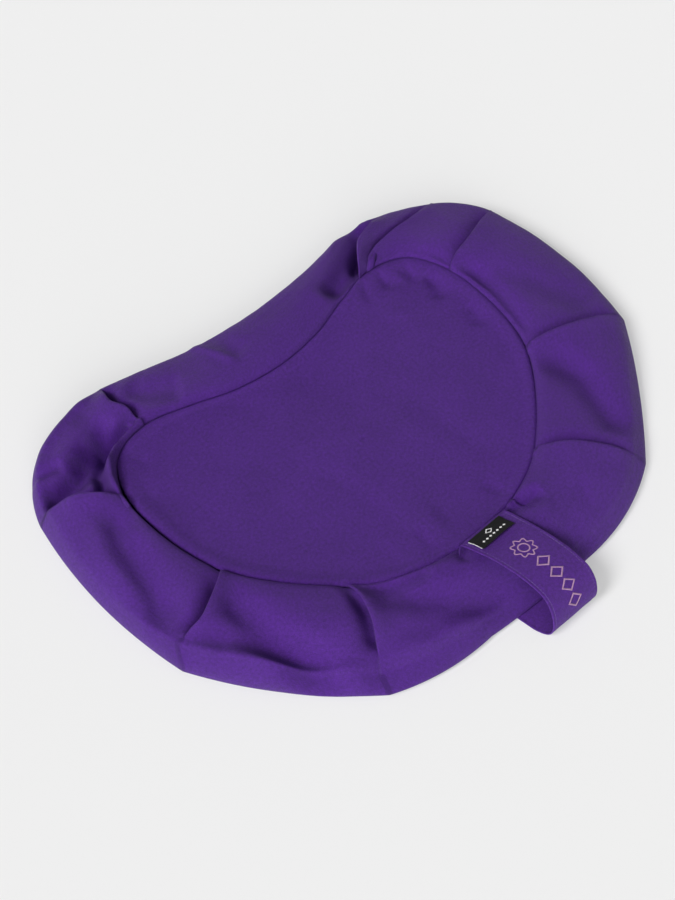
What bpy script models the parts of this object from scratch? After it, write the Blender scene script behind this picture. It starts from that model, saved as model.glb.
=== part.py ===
"""Removable cover of a crescent meditation cushion, lying empty on a flat surface.

Metres, +Z up. The origin is under the middle of the part, on the surface it lies on.
+X runs along the crescent, +Y points to its hollow side, where the zip is, and the handle is on -Y.
Plan points are written from the middle of the top panel and moved by PANEL_CENTRE.
"""

import math

import bmesh
import bpy
from mathutils import Matrix, Vector

# Driving dimensions
PANEL_CENTRE = Vector((-0.0153, 0.0278))
CLOTH = 0.0010
GAP = 0.0003
SEAM_Z = 0.0260
OUTLINE_STEPS = 96

# Right half of a panel's edge, from the hollow side's middle round to the middle of the outer side.
HALF_PANEL = [
    (0.0, 0.082),
    (0.043, 0.0870),
    (0.080, 0.0990),
    (0.118, 0.1075),
    (0.155, 0.0940),
    (0.171, 0.0450),
    (0.157, -0.0340),
    (0.098, -0.1050),
    (0.045, -0.1310),
    (0.0, -0.1360),
]

# Each pleat: where it starts on the seam, the corner it makes on the band's outer edge,
# and how far the edge bows out between that corner and the next one.
PLEATS = [
    ((0.110, 0.107), (0.181, 0.154), 0.003),
    ((0.138, 0.105), (0.216, 0.128), 0.002),
    ((0.167, 0.064), (0.248, 0.094), 0.008),
    ((0.157, -0.034), (0.245, -0.053), 0.002),
    ((0.090, -0.110), (0.159, -0.163), 0.006),
    ((0.045, -0.131), (0.060, -0.197), 0.001),
    ((-0.015, -0.1355), (-0.037, -0.197), 0.002),
    ((-0.097, -0.105), (-0.120, -0.179), 0.006),
    ((-0.157, -0.034), (-0.217, -0.065), 0.006),
    ((-0.171, 0.062), (-0.220, 0.090), 0.006),
    ((-0.148, 0.099), (-0.174, 0.151), 0.003),
    ((-0.118, 0.106), (-0.115, 0.166), 0.0),
]
FACET_STEPS = 6

# Band section: share of the way from the seam to the outer edge, and height.
TOP_SECTION = [
    (0.0, SEAM_Z),
    (0.15, 0.0315),
    (0.38, 0.0340),
    (0.65, 0.0308),
    (0.88, 0.0245),
    (1.0, 0.0195),
]
WALL_SECTION = [(1.02, 0.0120), (1.0, 0.0050), (0.95, 0.0012), (0.85, 0.0), (0.4, 0.0), (0.0, 0.0)]
WALL_UPRIGHT_TO = 0.010

# Zip, along an arc whose centre lies off the hollow side
ZIP_CENTRE = Vector((0.018, 0.541))
ZIP_RADIUS = 0.400
ZIP_Z = 0.0096
ZIP_END = math.radians(15.0)
COIL_END = math.radians(14.3)
STOP_LENGTH = math.radians(0.40)
TAPE_END = math.radians(14.9)
SLIDER_REST = math.radians(-13.5)
SLIT = 0.0006
COIL_WIDTH = 0.0025
TAPE_THICK = 0.0006
TAPE_EDGES = (0.0018, 0.0185)
SLIDER_LENGTH = 0.0100
SLIDER_FACE = 0.0016
BAIL_CLEAR = 0.0019
BAIL_WIRE = 0.0007
THREAD_RADIUS = 0.00025
OPENING_Z = (0.0047, 0.0145)
ZIP_STEPS = 30

# Handle: a flat strap sewn into the top seam and into the bottom seam
HANDLE_FOOT = Vector((0.015, -0.1352))
HANDLE_LEAN = math.radians(6.0)
HANDLE_WIDTH = 0.045
HANDLE_THICK = 0.0020
HANDLE_UPPER = [(0.0008, 0.0282), (0.012, 0.0318), (0.026, 0.0338), (0.042, 0.0338), (0.0552, 0.0329)]
HANDLE_LOOP = [
    (0.0578, 0.0326),
    (0.066, 0.0308),
    (0.073, 0.0285),
    (0.080, 0.0235),
    (0.0842, 0.0165),
    (0.0838, 0.0095),
    (0.0800, 0.0042),
    (0.0740, 0.0016),
    (0.0680, 0.0013),
]
HANDLE_LOWER = [(0.0600, 0.0013), (0.0300, 0.0012), (0.0008, 0.0012)]
HANDLE_STITCH_INSET = 0.0025
EMBROIDERY_THICK = 0.0005
HANDLE_HINGE = (0.0565, 0.0328)
LIFT_UNDER_HANDLE = 0.0030
DIP_UNDER_HANDLE = 0.0030
COVERED_OUT_TO = 0.062
COVERED_FADE = 0.024

LABEL_LENGTH = 0.033
LABEL_DEPTH = 0.015
LABEL_THICK = 0.0009
LABEL_HINGE = (0.0014, 0.0304)
LABEL_SLOPE = math.radians(15.0)
LABEL_SIDE_SHIFT = 0.0025

COLOURS = {
    "cotton": ((0.075, 0.026, 0.190), 0.85, 0.0),
    "rose_thread": ((0.42, 0.22, 0.38), 0.55, 0.0),
    "purple_thread": ((0.10, 0.045, 0.24), 0.6, 0.0),
    "black_ribbon": ((0.012, 0.012, 0.012), 0.6, 0.0),
    "white_thread": ((0.80, 0.80, 0.80), 0.6, 0.0),
    "white_satin": ((0.82, 0.82, 0.80), 0.4, 0.0),
    "nylon_coil": ((0.060, 0.022, 0.150), 0.45, 0.0),
    "painted_zinc": ((0.065, 0.025, 0.160), 0.35, 0.6),
}


# Scene and objects
def clear_scene():
    for obj in list(bpy.data.objects):
        bpy.data.objects.remove(obj)


def make_material(name):
    colour, roughness, metallic = COLOURS[name]
    material = bpy.data.materials.new(name)
    material.use_nodes = True
    shader = material.node_tree.nodes["Principled BSDF"]
    shader.inputs["Base Color"].default_value = (*colour, 1.0)
    shader.inputs["Roughness"].default_value = roughness
    shader.inputs["Metallic"].default_value = metallic
    return material


def make_collection(name):
    collection = bpy.data.collections.new(name)
    bpy.context.scene.collection.children.link(collection)
    return collection


def add_object(name, data, material):
    obj = bpy.data.objects.new(name, data)
    data.materials.append(MATERIALS[material])
    COVER.objects.link(obj)
    return obj


def solidify(obj, thickness, offset):
    modifier = obj.modifiers.new("cloth", "SOLIDIFY")
    modifier.thickness = thickness
    modifier.offset = offset
    modifier.use_even_offset = True
    return modifier


def shell(name, rows, material, thickness=CLOTH, offset=-1.0, closed=False):
    """A sheet through rows of points, thickened. With rows going clockwise it thickens inwards."""
    bm = bmesh.new()
    grid = [[bm.verts.new(point) for point in row] for row in rows]
    last = len(grid) if closed else len(grid) - 1
    for i in range(last):
        row, after = grid[i], grid[(i + 1) % len(grid)]
        for j in range(len(row) - 1):
            bm.faces.new((row[j], after[j], after[j + 1], row[j + 1]))
    mesh = bpy.data.meshes.new(name)
    bm.to_mesh(mesh)
    bm.free()
    mesh.shade_smooth()
    obj = add_object(name, mesh, material)
    solidify(obj, thickness, offset)
    return obj


def box(name, low, high, material, matrix):
    """A box between two corners, in the axes that the matrix gives."""
    bm = bmesh.new()
    bmesh.ops.create_cube(bm, size=1.0)
    low, high = Vector(low), Vector(high)
    bmesh.ops.scale(bm, vec=high - low, verts=bm.verts)
    bmesh.ops.translate(bm, vec=(low + high) / 2, verts=bm.verts)
    mesh = bpy.data.meshes.new(name)
    bm.to_mesh(mesh)
    bm.free()
    obj = add_object(name, mesh, material)
    obj.matrix_world = matrix
    return obj


def plate(name, outlines, thickness, material, matrix):
    """A flat outline, with any holes as further outlines, made solid either side of its plane."""
    curve = bpy.data.curves.new(name, "CURVE")
    curve.dimensions = "2D"
    curve.fill_mode = "BOTH"
    curve.extrude = thickness / 2
    for outline in outlines:
        spline = curve.splines.new("POLY")
        spline.points.add(len(outline) - 1)
        for point, (x, y) in zip(spline.points, outline):
            point.co = (x, y, 0.0, 1.0)
        spline.use_cyclic_u = True
    obj = add_object(name, curve, material)
    obj.matrix_world = matrix
    return obj


def thread(name, path, material):
    """Round sewing thread along a path."""
    curve = bpy.data.curves.new(name, "CURVE")
    curve.dimensions = "3D"
    curve.bevel_depth = THREAD_RADIUS
    curve.bevel_resolution = 1
    curve.use_fill_caps = True
    spline = curve.splines.new("POLY")
    spline.points.add(len(path) - 1)
    for point, place in zip(spline.points, path):
        point.co = (*place, 1.0)
    return add_object(name, curve, material)


def as_mesh(curve_obj):
    """Turns a curve object into a mesh object with its caps welded, so that a Boolean can use it."""
    bpy.context.view_layer.update()
    graph = bpy.context.evaluated_depsgraph_get()
    mesh = bpy.data.meshes.new_from_object(curve_obj.evaluated_get(graph))
    bm = bmesh.new()
    bm.from_mesh(mesh)
    bmesh.ops.remove_doubles(bm, verts=bm.verts, dist=1e-6)
    bm.to_mesh(mesh)
    bm.free()
    name, place = curve_obj.name, curve_obj.matrix_world.copy()
    bpy.data.objects.remove(curve_obj)
    obj = bpy.data.objects.new(name, mesh)
    obj.matrix_world = place
    COVER.objects.link(obj)
    return obj


def unite(obj, pieces):
    """Joins the pieces to the object as one body, and puts them with the cutters."""
    for piece in pieces:
        COVER.objects.unlink(piece)
        CUTTERS.objects.link(piece)
        piece.hide_render = True
        piece.display_type = "WIRE"
        union = obj.modifiers.new("join", "BOOLEAN")
        union.operation = "UNION"
        union.object = piece


def pivot(name, place):
    """An empty on a joint's axis, to parent the moving pieces to."""
    empty = bpy.data.objects.new(name, None)
    empty.location = place
    empty.empty_display_size = 0.01
    COVER.objects.link(empty)
    bpy.context.view_layer.update()
    return empty


def hang_on(empty, pieces):
    for piece in pieces:
        place = piece.matrix_world.copy()
        piece.parent = empty
        piece.matrix_parent_inverse = empty.matrix_world.inverted()
        piece.matrix_world = place


# Plan geometry
def catmull_rom(before, start, end, after, t):
    return 0.5 * (
        2 * start
        + (end - before) * t
        + (2 * before - 5 * start + 4 * end - after) * t * t
        + (3 * start - before - 3 * end + after) * t * t * t
    )


def panel_outline(steps=OUTLINE_STEPS):
    """Evenly spaced points round a panel's edge, clockwise from the middle of the hollow side."""
    right = [Vector(point) for point in HALF_PANEL]
    left = [Vector((-point.x, point.y)) for point in reversed(right[1:-1])]
    knots = right + left
    fine = []
    for i in range(len(knots)):
        around = [knots[(i + k) % len(knots)] for k in (-1, 0, 1, 2)]
        fine += [catmull_rom(*around, t / 24) for t in range(24)]
    return resample(fine + [fine[0]], steps + 1)[:-1]


def resample(path, count):
    """The path as count points, evenly spaced along it."""
    lengths = [0.0]
    for start, end in zip(path, path[1:]):
        lengths.append(lengths[-1] + (end - start).length)
    points = []
    for i in range(count):
        wanted = lengths[-1] * i / (count - 1)
        k = next((k for k in range(len(path) - 2) if lengths[k + 1] >= wanted), len(path) - 2)
        share = (wanted - lengths[k]) / (lengths[k + 1] - lengths[k])
        points.append(path[k].lerp(path[k + 1], min(max(share, 0.0), 1.0)))
    return points


def offset_outline(outline, distance):
    """The closed clockwise outline moved outwards by distance, or inwards if it is negative."""
    moved = []
    for i, point in enumerate(outline):
        along = (outline[(i + 1) % len(outline)] - outline[i - 1]).normalized()
        moved.append(point + distance * Vector((-along.y, along.x)))
    return moved


def in_frame(plan, z):
    return Vector((plan.x + PANEL_CENTRE.x, plan.y + PANEL_CENTRE.y, z))


def nearest(outline, place):
    return min(range(len(outline)), key=lambda k: (outline[k] - Vector(place)).length)


def seam_between(outline, start, end):
    """The stretch of the outline going clockwise from the point nearest start to the one nearest end."""
    first, last = nearest(outline, start), nearest(outline, end)
    if last < first:
        last += len(outline)
    return [outline[k % len(outline)] for k in range(first, last + 1)]


def zip_point(angle, inwards=0.0):
    """Plan point on the zip's arc. The angle is 0 in its middle and grows towards +X."""
    reach = ZIP_RADIUS + inwards
    return ZIP_CENTRE + reach * Vector((math.sin(angle), -math.cos(angle)))


def bowed(start, end, bow, steps):
    """Points of a shallow arc from start to end, bowing outwards, to the left of a clockwise edge."""
    along = (end - start).normalized()
    side = Vector((-along.y, along.x))
    shares = [i / steps for i in range(steps + 1)]
    return [start.lerp(end, s) + side * bow * 4 * s * (1 - s) for s in shares]


# The cover's cloth
def under_handle(seam_point, outer_point):
    """1 where the band passes under the handle, falling to 0 beside it."""
    middle = (seam_point + outer_point) / 2 - HANDLE_FOOT
    side = abs(middle.dot(Vector((math.cos(HANDLE_LEAN), math.sin(HANDLE_LEAN)))))
    if middle.y > 0:
        return 0.0
    return min(max((COVERED_OUT_TO - side) / COVERED_FADE, 0.0), 1.0)


def section_row(seam_point, outer_point, section):
    covered = under_handle(seam_point, outer_point)
    row = []
    for share, z in section:
        if z < WALL_UPRIGHT_TO:
            z += covered * LIFT_UNDER_HANDLE * (1 - z / WALL_UPRIGHT_TO)
        elif z > SEAM_Z:
            z -= covered * DIP_UNDER_HANDLE
        row.append(in_frame(seam_point.lerp(outer_point, share), z))
    return row


def band_stations(seam):
    """Pairs of seam point and outer point, pleat by pleat, clockwise from the first pleat."""
    pairs = []
    for (start, corner, bow), (end, next_corner, _) in zip(PLEATS, PLEATS[1:]):
        inner = resample(seam_between(seam, start, end), FACET_STEPS + 1)
        outer = bowed(Vector(corner), Vector(next_corner), bow, FACET_STEPS)
        pairs += list(zip(inner, outer))[:-1]
    pairs.append((inner[-1], outer[-1]))
    return pairs


def zip_stations(seam):
    """Pairs of seam point and outer point along the hollow side, from the last pleat to the first."""
    start, end = PLEATS[-1], PLEATS[0]
    arc = [zip_point(ZIP_END * (2 * i / ZIP_STEPS - 1)) for i in range(ZIP_STEPS + 1)]
    outer = [Vector(start[1]), *arc, Vector((0.155, 0.158)), Vector(end[1])]
    inner = resample(seam_between(seam, start[0], end[0]), len(outer))
    return list(zip(inner, outer))


def make_cloth(outline):
    seam = offset_outline(outline, GAP)
    section = TOP_SECTION + WALL_SECTION
    rows = [section_row(a, b, section) for a, b in band_stations(seam)]
    shell("pleated_band", rows, "cotton")
    pairs = shorten(zip_stations(seam), 3 * GAP)
    upper = TOP_SECTION + [(1.0, OPENING_Z[1])]
    lower = [(1.0, OPENING_Z[0]), (1.0, 0.0010), (0.985, 0.0), (0.5, 0.0), (0.0, 0.0)]
    shell("zip_panel_upper", [section_row(a, b, upper) for a, b in pairs], "cotton")
    shell("zip_panel_lower", [section_row(a, b, lower) for a, b in pairs], "cotton")
    tab_heights = (OPENING_Z[1] - GAP, OPENING_Z[0] + GAP)
    outer = [b for _, b in pairs]
    for name, stretch in (("zip_end_tab_left", outer[:2]), ("zip_end_tab_right", outer[-3:])):
        rows = [[in_frame(point, z) for z in tab_heights] for point in stretch]
        shell(name, rows, "cotton")
    for name, z in (("top_panel", SEAM_Z - CLOTH / 2), ("bottom_panel", CLOTH / 2)):
        edge = [tuple(point) for point in offset_outline(outline, -GAP)]
        place = Matrix.Translation(Vector((PANEL_CENTRE.x, PANEL_CENTRE.y, z)))
        plate(name, [edge], CLOTH, "cotton", place)


def shorten(pairs, distance):
    """The same stretch, ending short of the pleated band's end seams."""
    ends = []
    for end, beside in ((pairs[0], pairs[1]), (pairs[-1], pairs[-2])):
        ends.append(tuple(a + (b - a).normalized() * distance for a, b in zip(end, beside)))
    return [ends[0], *pairs[1:-1], ends[1]]


def make_seam_allowances(outline):
    """The two cloth edges behind each seam, trimmed and bound together with overlock thread."""
    depth = 0.008
    ring = offset_outline(outline, -0.0030)
    spans = {
        "top_seam_overlock": SEAM_Z - CLOTH - GAP,
        "bottom_seam_overlock": CLOTH + GAP + depth,
    }
    for name, top in spans.items():
        rows = [[in_frame(point, z) for z in (top, top - depth)] for point in ring]
        shell(name, rows, "purple_thread", thickness=0.0014, offset=0.0, closed=True)


def make_care_label():
    corner = [(-0.055, 0.034), (-0.030, 0.034), (-0.030, 0.076), (-0.055, 0.076)]
    place = in_frame(Vector((0, 0)), CLOTH + 2 * GAP + 0.0002)
    plate("care_label", [corner], 0.0004, "white_satin", Matrix.Translation(place))


# The zip
def arc_band(name, material, depths, heights, start, end, steps=ZIP_STEPS):
    """A strip along the zip's arc. Depths are measured inwards from the wall's face."""
    angles = [start + (end - start) * i / steps for i in range(steps + 1)]
    near, far = ([zip_point(angle, depth) for angle in angles] for depth in depths)
    outline = [tuple(point) for point in near + far[::-1]]
    low, high = heights
    place = in_frame(Vector((0.0, 0.0)), (low + high) / 2)
    return plate(name, [outline], high - low, material, Matrix.Translation(place))


def make_zip_chain():
    tape_depths = (CLOTH + GAP, CLOTH + GAP + TAPE_THICK)
    coil_depths = (-0.0001, CLOTH)
    stop_depths = (-0.0006, CLOTH)
    upper = (ZIP_Z + SLIT, ZIP_Z + SLIT + COIL_WIDTH)
    lower = (ZIP_Z - SLIT - COIL_WIDTH, ZIP_Z - SLIT)
    arc_band("zip_tape_upper", "cotton", tape_depths, (upper[0], TAPE_EDGES[1]), -TAPE_END, TAPE_END)
    arc_band("zip_tape_lower", "cotton", tape_depths, (TAPE_EDGES[0], lower[1]), -TAPE_END, TAPE_END)
    clear = GAP / ZIP_RADIUS
    stop_start = -COIL_END - clear - STOP_LENGTH
    for side, heights in (("upper", upper), ("lower", lower)):
        arc_band(f"zip_coil_{side}", "nylon_coil", coil_depths, heights, -COIL_END, COIL_END)
        stop_end = stop_start + STOP_LENGTH
        arc_band(f"zip_top_stop_{side}", "painted_zinc", stop_depths, heights, stop_start, stop_end, 1)
    both = (lower[0], upper[1])
    start = COIL_END + clear
    arc_band("zip_bottom_stop", "painted_zinc", stop_depths, both, start, start + STOP_LENGTH, 1)


def make_zip_stitching():
    proud = GAP + THREAD_RADIUS
    for side, z in (("upper", OPENING_Z[1] + 0.0020), ("lower", OPENING_Z[0] - 0.0018)):
        angles = [ZIP_END * (2 * i / ZIP_STEPS - 1) for i in range(ZIP_STEPS + 1)]
        path = [in_frame(zip_point(angle, -proud), z) for angle in angles]
        thread(f"zip_stitching_{side}", path, "purple_thread")


def slider_frame():
    """Matrix at the slider's rest: X along the zip to +X, Y out of the wall, Z up."""
    place = in_frame(zip_point(SLIDER_REST), ZIP_Z)
    return Matrix.Translation(place) @ Matrix.Rotation(SLIDER_REST, 4, "Z")


def make_slider():
    """Front plate, back plate, the web that joins them through the slit, and the bail."""
    place = slider_frame()
    length, zinc = SLIDER_LENGTH / 2, "painted_zinc"
    slider = box("zip_slider", (-length, 0.0004, -0.0044), (length, SLIDER_FACE, 0.0044), zinc, place)
    back = box("slider_back_plate", (-0.0047, -0.0030, -0.0038), (0.0047, -0.0022, 0.0038), zinc, place)
    web = box("slider_web", (-0.0044, -0.0026, -0.0003), (0.0044, 0.0010, 0.0003), zinc, place)
    top = SLIDER_FACE + BAIL_CLEAR + BAIL_WIRE
    foot, buried = 0.0038, SLIDER_FACE - 0.0004
    shoulder = 0.0010
    outer = [(-foot, buried), (-foot, top - shoulder), (-foot + shoulder, top)]
    inner = [(-foot + BAIL_WIRE, top - BAIL_WIRE), (-foot + BAIL_WIRE, buried)]
    half = inner + outer
    outline = half + [(-x, y) for x, y in reversed(half)]
    bail = as_mesh(plate("slider_bail", [outline], 0.0018, zinc, place))
    unite(slider, [back, web, bail])
    return [slider, back, web, bail]


def make_pull_tab():
    """A flat tab whose end bar sits under the slider's bail. Its origin is on the bar's axis."""
    outline = [(-0.0007, -0.0024), (0.0200, -0.0028), (0.0220, -0.0018), (0.0226, 0.0)]
    outline += [(x, -y) for x, y in reversed(outline[:3])]
    eye = [(0.0007, -0.0014), (0.0055, -0.0014), (0.0055, 0.0014), (0.0007, 0.0014)]
    grip = [(0.0150, -0.0010), (0.0190, -0.0010), (0.0190, 0.0010), (0.0150, 0.0010)]
    lift = Matrix.Translation(Vector((0.0, SLIDER_FACE + BAIL_CLEAR / 2, 0.0)))
    flat = slider_frame() @ lift @ Matrix.Rotation(math.radians(90), 4, "X")
    return plate("zip_pull_tab", [outline, eye, grip], 0.0009, "painted_zinc", flat)


def make_zip():
    make_zip_chain()
    make_zip_stitching()
    arc_centre = pivot("zip_arc_centre", in_frame(ZIP_CENTRE, ZIP_Z))
    hang_on(arc_centre, make_slider() + [make_pull_tab()])


# The handle and its labels
def handle_axes():
    across = Vector((math.cos(HANDLE_LEAN), math.sin(HANDLE_LEAN)))
    out = Vector((math.sin(HANDLE_LEAN), -math.cos(HANDLE_LEAN)))
    return across, out


def handle_point(side, out_distance, z):
    across, out = handle_axes()
    return in_frame(HANDLE_FOOT + across * side + out * out_distance, z)


def strap(name, path):
    half = HANDLE_WIDTH / 2
    rows = [[handle_point(side, v, z) for side in (-half, half)] for v, z in path]
    shell(name, rows, "cotton", thickness=HANDLE_THICK, offset=0.0)


def raised(path, height):
    """The path moved off the strap's outer face, to the left of the way it runs."""
    points = [Vector(point) for point in path]
    moved = []
    for i, point in enumerate(points):
        along = (points[min(i + 1, len(points) - 1)] - points[max(i - 1, 0)]).normalized()
        moved.append(point + height * Vector((-along.y, along.x)))
    return moved


def make_handle():
    inset = HANDLE_WIDTH / 2 - HANDLE_STITCH_INSET
    height = HANDLE_THICK / 2 + GAP + THREAD_RADIUS
    runs = {"upper_run": HANDLE_UPPER, "loop": HANDLE_LOOP, "lower_run": HANDLE_LOWER}
    for run, path in runs.items():
        strap(f"handle_{run}", path)
    for run, path in (("upper", HANDLE_UPPER[1:]), ("loop", HANDLE_LOOP[:7])):
        line = raised(path, height)
        for side, across in (("left", -inset), ("right", inset)):
            places = [handle_point(across, v, z) for v, z in line]
            thread(f"handle_stitching_{run}_{side}", places, "purple_thread")


def on_strap(path, out_distance, height):
    """Matrix on the strap's outer face: X across, Y along the strap inwards, Z off its face."""
    points = [Vector(point) for point in path]
    k = next(i for i in range(len(points) - 1) if points[i + 1].x >= out_distance)
    start, end = points[k], points[k + 1]
    along = (end - start).normalized()
    place = start.lerp(end, (out_distance - start.x) / (end.x - start.x))
    place += height * Vector((-along.y, along.x))
    across, out = handle_axes()
    x_axis = Vector((across.x, across.y, 0.0))
    y_axis = -Vector((out.x * along.x, out.y * along.x, along.y))
    matrix = Matrix((x_axis, y_axis, x_axis.cross(y_axis))).transposed().to_4x4()
    matrix.translation = handle_point(0.0, place.x, place.y)
    return matrix


def rosette(radius, depth, petals, steps):
    angles = [2 * math.pi * i / steps for i in range(steps)]
    reach = [radius - depth * (1 - math.cos(petals * angle)) / 2 for angle in angles]
    return [(r * math.cos(angle), r * math.sin(angle)) for r, angle in zip(reach, angles)]


def lozenge(half_width, half_length):
    return [(half_width, 0.0), (0.0, half_length), (-half_width, 0.0), (0.0, -half_length)]


def make_embroidery():
    """Generic motifs stitched on the strap: one rosette, then a row of open lozenges."""
    height = HANDLE_THICK / 2 + GAP + EMBROIDERY_THICK / 2
    rings = [rosette(0.0078, 0.0018, 8, 32), rosette(0.0030, 0.0, 8, 12)]
    lozenges = [lozenge(0.0052, 0.0034), lozenge(0.0032, 0.0020)]
    motifs = {
        "embroidery_rosette": (HANDLE_UPPER, 0.0330, rings),
        "embroidery_lozenge_1": (HANDLE_UPPER, 0.0495, lozenges),
        "embroidery_lozenge_2": (HANDLE_LOOP, 0.0620, lozenges),
        "embroidery_lozenge_3": (HANDLE_LOOP, 0.0765, lozenges),
        "embroidery_lozenge_4": (HANDLE_LOOP, 0.0821, lozenges),
    }
    for name, (path, out_distance, outlines) in motifs.items():
        place = on_strap(path, out_distance, height)
        plate(name, outlines, EMBROIDERY_THICK, "rose_thread", place)


def label_frame():
    """Matrix on the label's hinge: X across the strap, Y along the label outwards, Z off its face."""
    across, out = handle_axes()
    x_axis = -Vector((across.x, across.y, 0.0))
    slope = Vector((out.x * math.cos(LABEL_SLOPE), out.y * math.cos(LABEL_SLOPE), math.sin(LABEL_SLOPE)))
    matrix = Matrix((x_axis, slope, x_axis.cross(slope))).transposed().to_4x4()
    matrix.translation = handle_point(LABEL_SIDE_SHIFT, *LABEL_HINGE)
    return matrix


def make_label():
    """A woven ribbon folded in half, its cut ends in the seam, with a generic woven motif."""
    half = LABEL_LENGTH / 2
    edge = 0.0004
    ribbon = [(-half, edge), (half, edge), (half, LABEL_DEPTH), (-half, LABEL_DEPTH)]
    frame = label_frame()
    lie = Matrix.Translation(Vector((0.0, 0.0, LABEL_THICK / 2)))
    lift = Matrix.Translation(Vector((0.0, LABEL_DEPTH * 0.52, LABEL_THICK + GAP + 0.0001)))
    label = plate("seam_label", [ribbon], LABEL_THICK, "black_ribbon", frame @ lie)
    motif = plate("label_motif", [lozenge(0.0060, 0.0030)], 0.0002, "white_thread", frame @ lift)
    hang_on(pivot("label_fold", frame.translation), [label, motif])


def make_handle_and_label():
    make_handle()
    make_embroidery()
    make_label()
    names = ("handle_loop", "handle_stitching_loop_left", "handle_stitching_loop_right")
    names += ("embroidery_lozenge_2", "embroidery_lozenge_3", "embroidery_lozenge_4")
    loop = [COVER.objects[name] for name in names]
    hang_on(pivot("handle_fold", handle_point(0.0, *HANDLE_HINGE)), loop)


clear_scene()
MATERIALS = {name: make_material(name) for name in COLOURS}
COVER = make_collection("crescent_cushion_cover")
CUTTERS = make_collection("joined_shapes")
OUTLINE = panel_outline()
make_cloth(OUTLINE)
make_seam_allowances(OUTLINE)
make_care_label()
make_zip()
make_handle_and_label()
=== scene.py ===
"""Looks of the crescent meditation cushion cover: cloth, strap, label, zip, floor, light and camera.

Lengths are metres, apart from those in a table that mm() reads and in pleat() and stroke().
"Plan" points are (x, y) measured from the middle of the top panel.
"""

import math

import bpy
import numpy as np
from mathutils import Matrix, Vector, noise


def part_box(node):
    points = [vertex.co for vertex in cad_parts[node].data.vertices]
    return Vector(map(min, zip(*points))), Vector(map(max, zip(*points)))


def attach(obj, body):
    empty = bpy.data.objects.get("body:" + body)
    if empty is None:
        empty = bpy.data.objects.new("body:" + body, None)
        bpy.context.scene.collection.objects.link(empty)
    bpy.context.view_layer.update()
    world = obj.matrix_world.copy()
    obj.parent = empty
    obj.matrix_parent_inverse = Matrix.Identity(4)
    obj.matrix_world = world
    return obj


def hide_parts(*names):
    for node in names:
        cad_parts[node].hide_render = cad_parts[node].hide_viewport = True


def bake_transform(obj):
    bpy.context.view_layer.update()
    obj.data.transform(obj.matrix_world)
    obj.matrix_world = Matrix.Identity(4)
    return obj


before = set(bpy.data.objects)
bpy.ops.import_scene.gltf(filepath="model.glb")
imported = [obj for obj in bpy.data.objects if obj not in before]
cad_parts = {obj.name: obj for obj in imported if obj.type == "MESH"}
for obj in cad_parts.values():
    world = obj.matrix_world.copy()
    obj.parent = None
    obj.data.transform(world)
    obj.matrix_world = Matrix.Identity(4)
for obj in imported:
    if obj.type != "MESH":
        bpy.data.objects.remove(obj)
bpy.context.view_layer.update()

# Where things are, from the frame
PANEL_LOW, PANEL_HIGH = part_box("top_panel")
PANEL_HALF_DEPTH = 0.1357
CENTRE = np.array([(PANEL_LOW.x + PANEL_HIGH.x) / 2, PANEL_LOW.y + PANEL_HALF_DEPTH])
SEAM_Z = PANEL_HIGH.z


def array(points):
    return np.array(points, float)


def mm(values):
    """Metres, from a table in millimetres."""
    return array(values) / 1000


# Right half of a panel's edge, from the hollow side's middle round to the outer side's middle
HALF_PANEL = mm([
    (0, 82), (43, 87), (80, 99), (118, 107.5), (155, 94), (171, 45), (157, -34), (98, -105),
    (45, -131), (0, -136),
])


# Curves
def spline_span(a, b, c, d, t):
    """The stretch of a Catmull-Rom curve from b to c."""
    square = 2 * a - 5 * b + 4 * c - d
    cube = 3 * b - a - 3 * c + d
    return 0.5 * (2 * b + (c - a) * t + square * t**2 + cube * t**3)


def catmull_rom(knots, steps, closed=False):
    """A smooth curve through the knots. A closed one ends where it starts."""
    knots = array(knots)
    if closed:
        knots = np.vstack([knots[-1:], knots, knots[:2]])
    else:
        knots = np.vstack([2 * knots[0] - knots[1], knots, 2 * knots[-1] - knots[-2]])
    t = np.linspace(0, 1, steps, endpoint=False)[:, None]
    spans = [spline_span(a, b, c, d, t) for a, b, c, d in zip(knots, knots[1:], knots[2:], knots[3:])]
    return np.concatenate(spans + [knots[-2][None]])


def lengths_along(path):
    return np.concatenate([[0.0], np.cumsum(np.linalg.norm(np.diff(path, axis=0), axis=1))])


def at_lengths(path, wanted):
    along = lengths_along(path)
    return np.stack([np.interp(wanted, along, path[:, k]) for k in range(path.shape[1])], axis=1)


def at_shares(path, shares):
    return at_lengths(path, np.asarray(shares) * lengths_along(path)[-1])


def smoothstep(x, low=0.0, high=1.0):
    t = np.clip((x - low) / (high - low), 0, 1)
    return t * t * (3 - 2 * t)


def unit(vectors):
    return vectors / np.linalg.norm(vectors, axis=-1, keepdims=True)


def pairs(a, b):
    """Two arrays of numbers as one list of points."""
    return np.stack([np.ravel(a), np.ravel(b)], axis=1)


def panel_outline(steps=1440):
    """Points round a panel's edge, evenly spaced, clockwise from the hollow side's middle."""
    left = HALF_PANEL[-2:0:-1] * (-1, 1)
    loop = catmull_rom(np.vstack([HALF_PANEL, left]), 40, closed=True)
    return at_shares(loop, np.arange(steps) / steps)


OUTLINE = panel_outline()


def pleat(over, depth, lift, sink, reach, *points):
    """A pleat of the band, in millimetres.

    over is the facet that lies over: 1 the next one, -1 the one before. The pleat is that deep, its
    edge lifts and the cloth beside it sinks by so much, and it reaches along that share of its fold.
    The points run along the fold in plan, from the seam to the ridge. The last one is the corner
    that the wall makes below.
    """
    *fold, corner = mm(points)
    depth, lift, sink = mm((depth, lift, sink))
    return dict(fold=fold, corner=corner, over=over, depth=depth, lift=lift, sink=sink, reach=reach)


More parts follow.
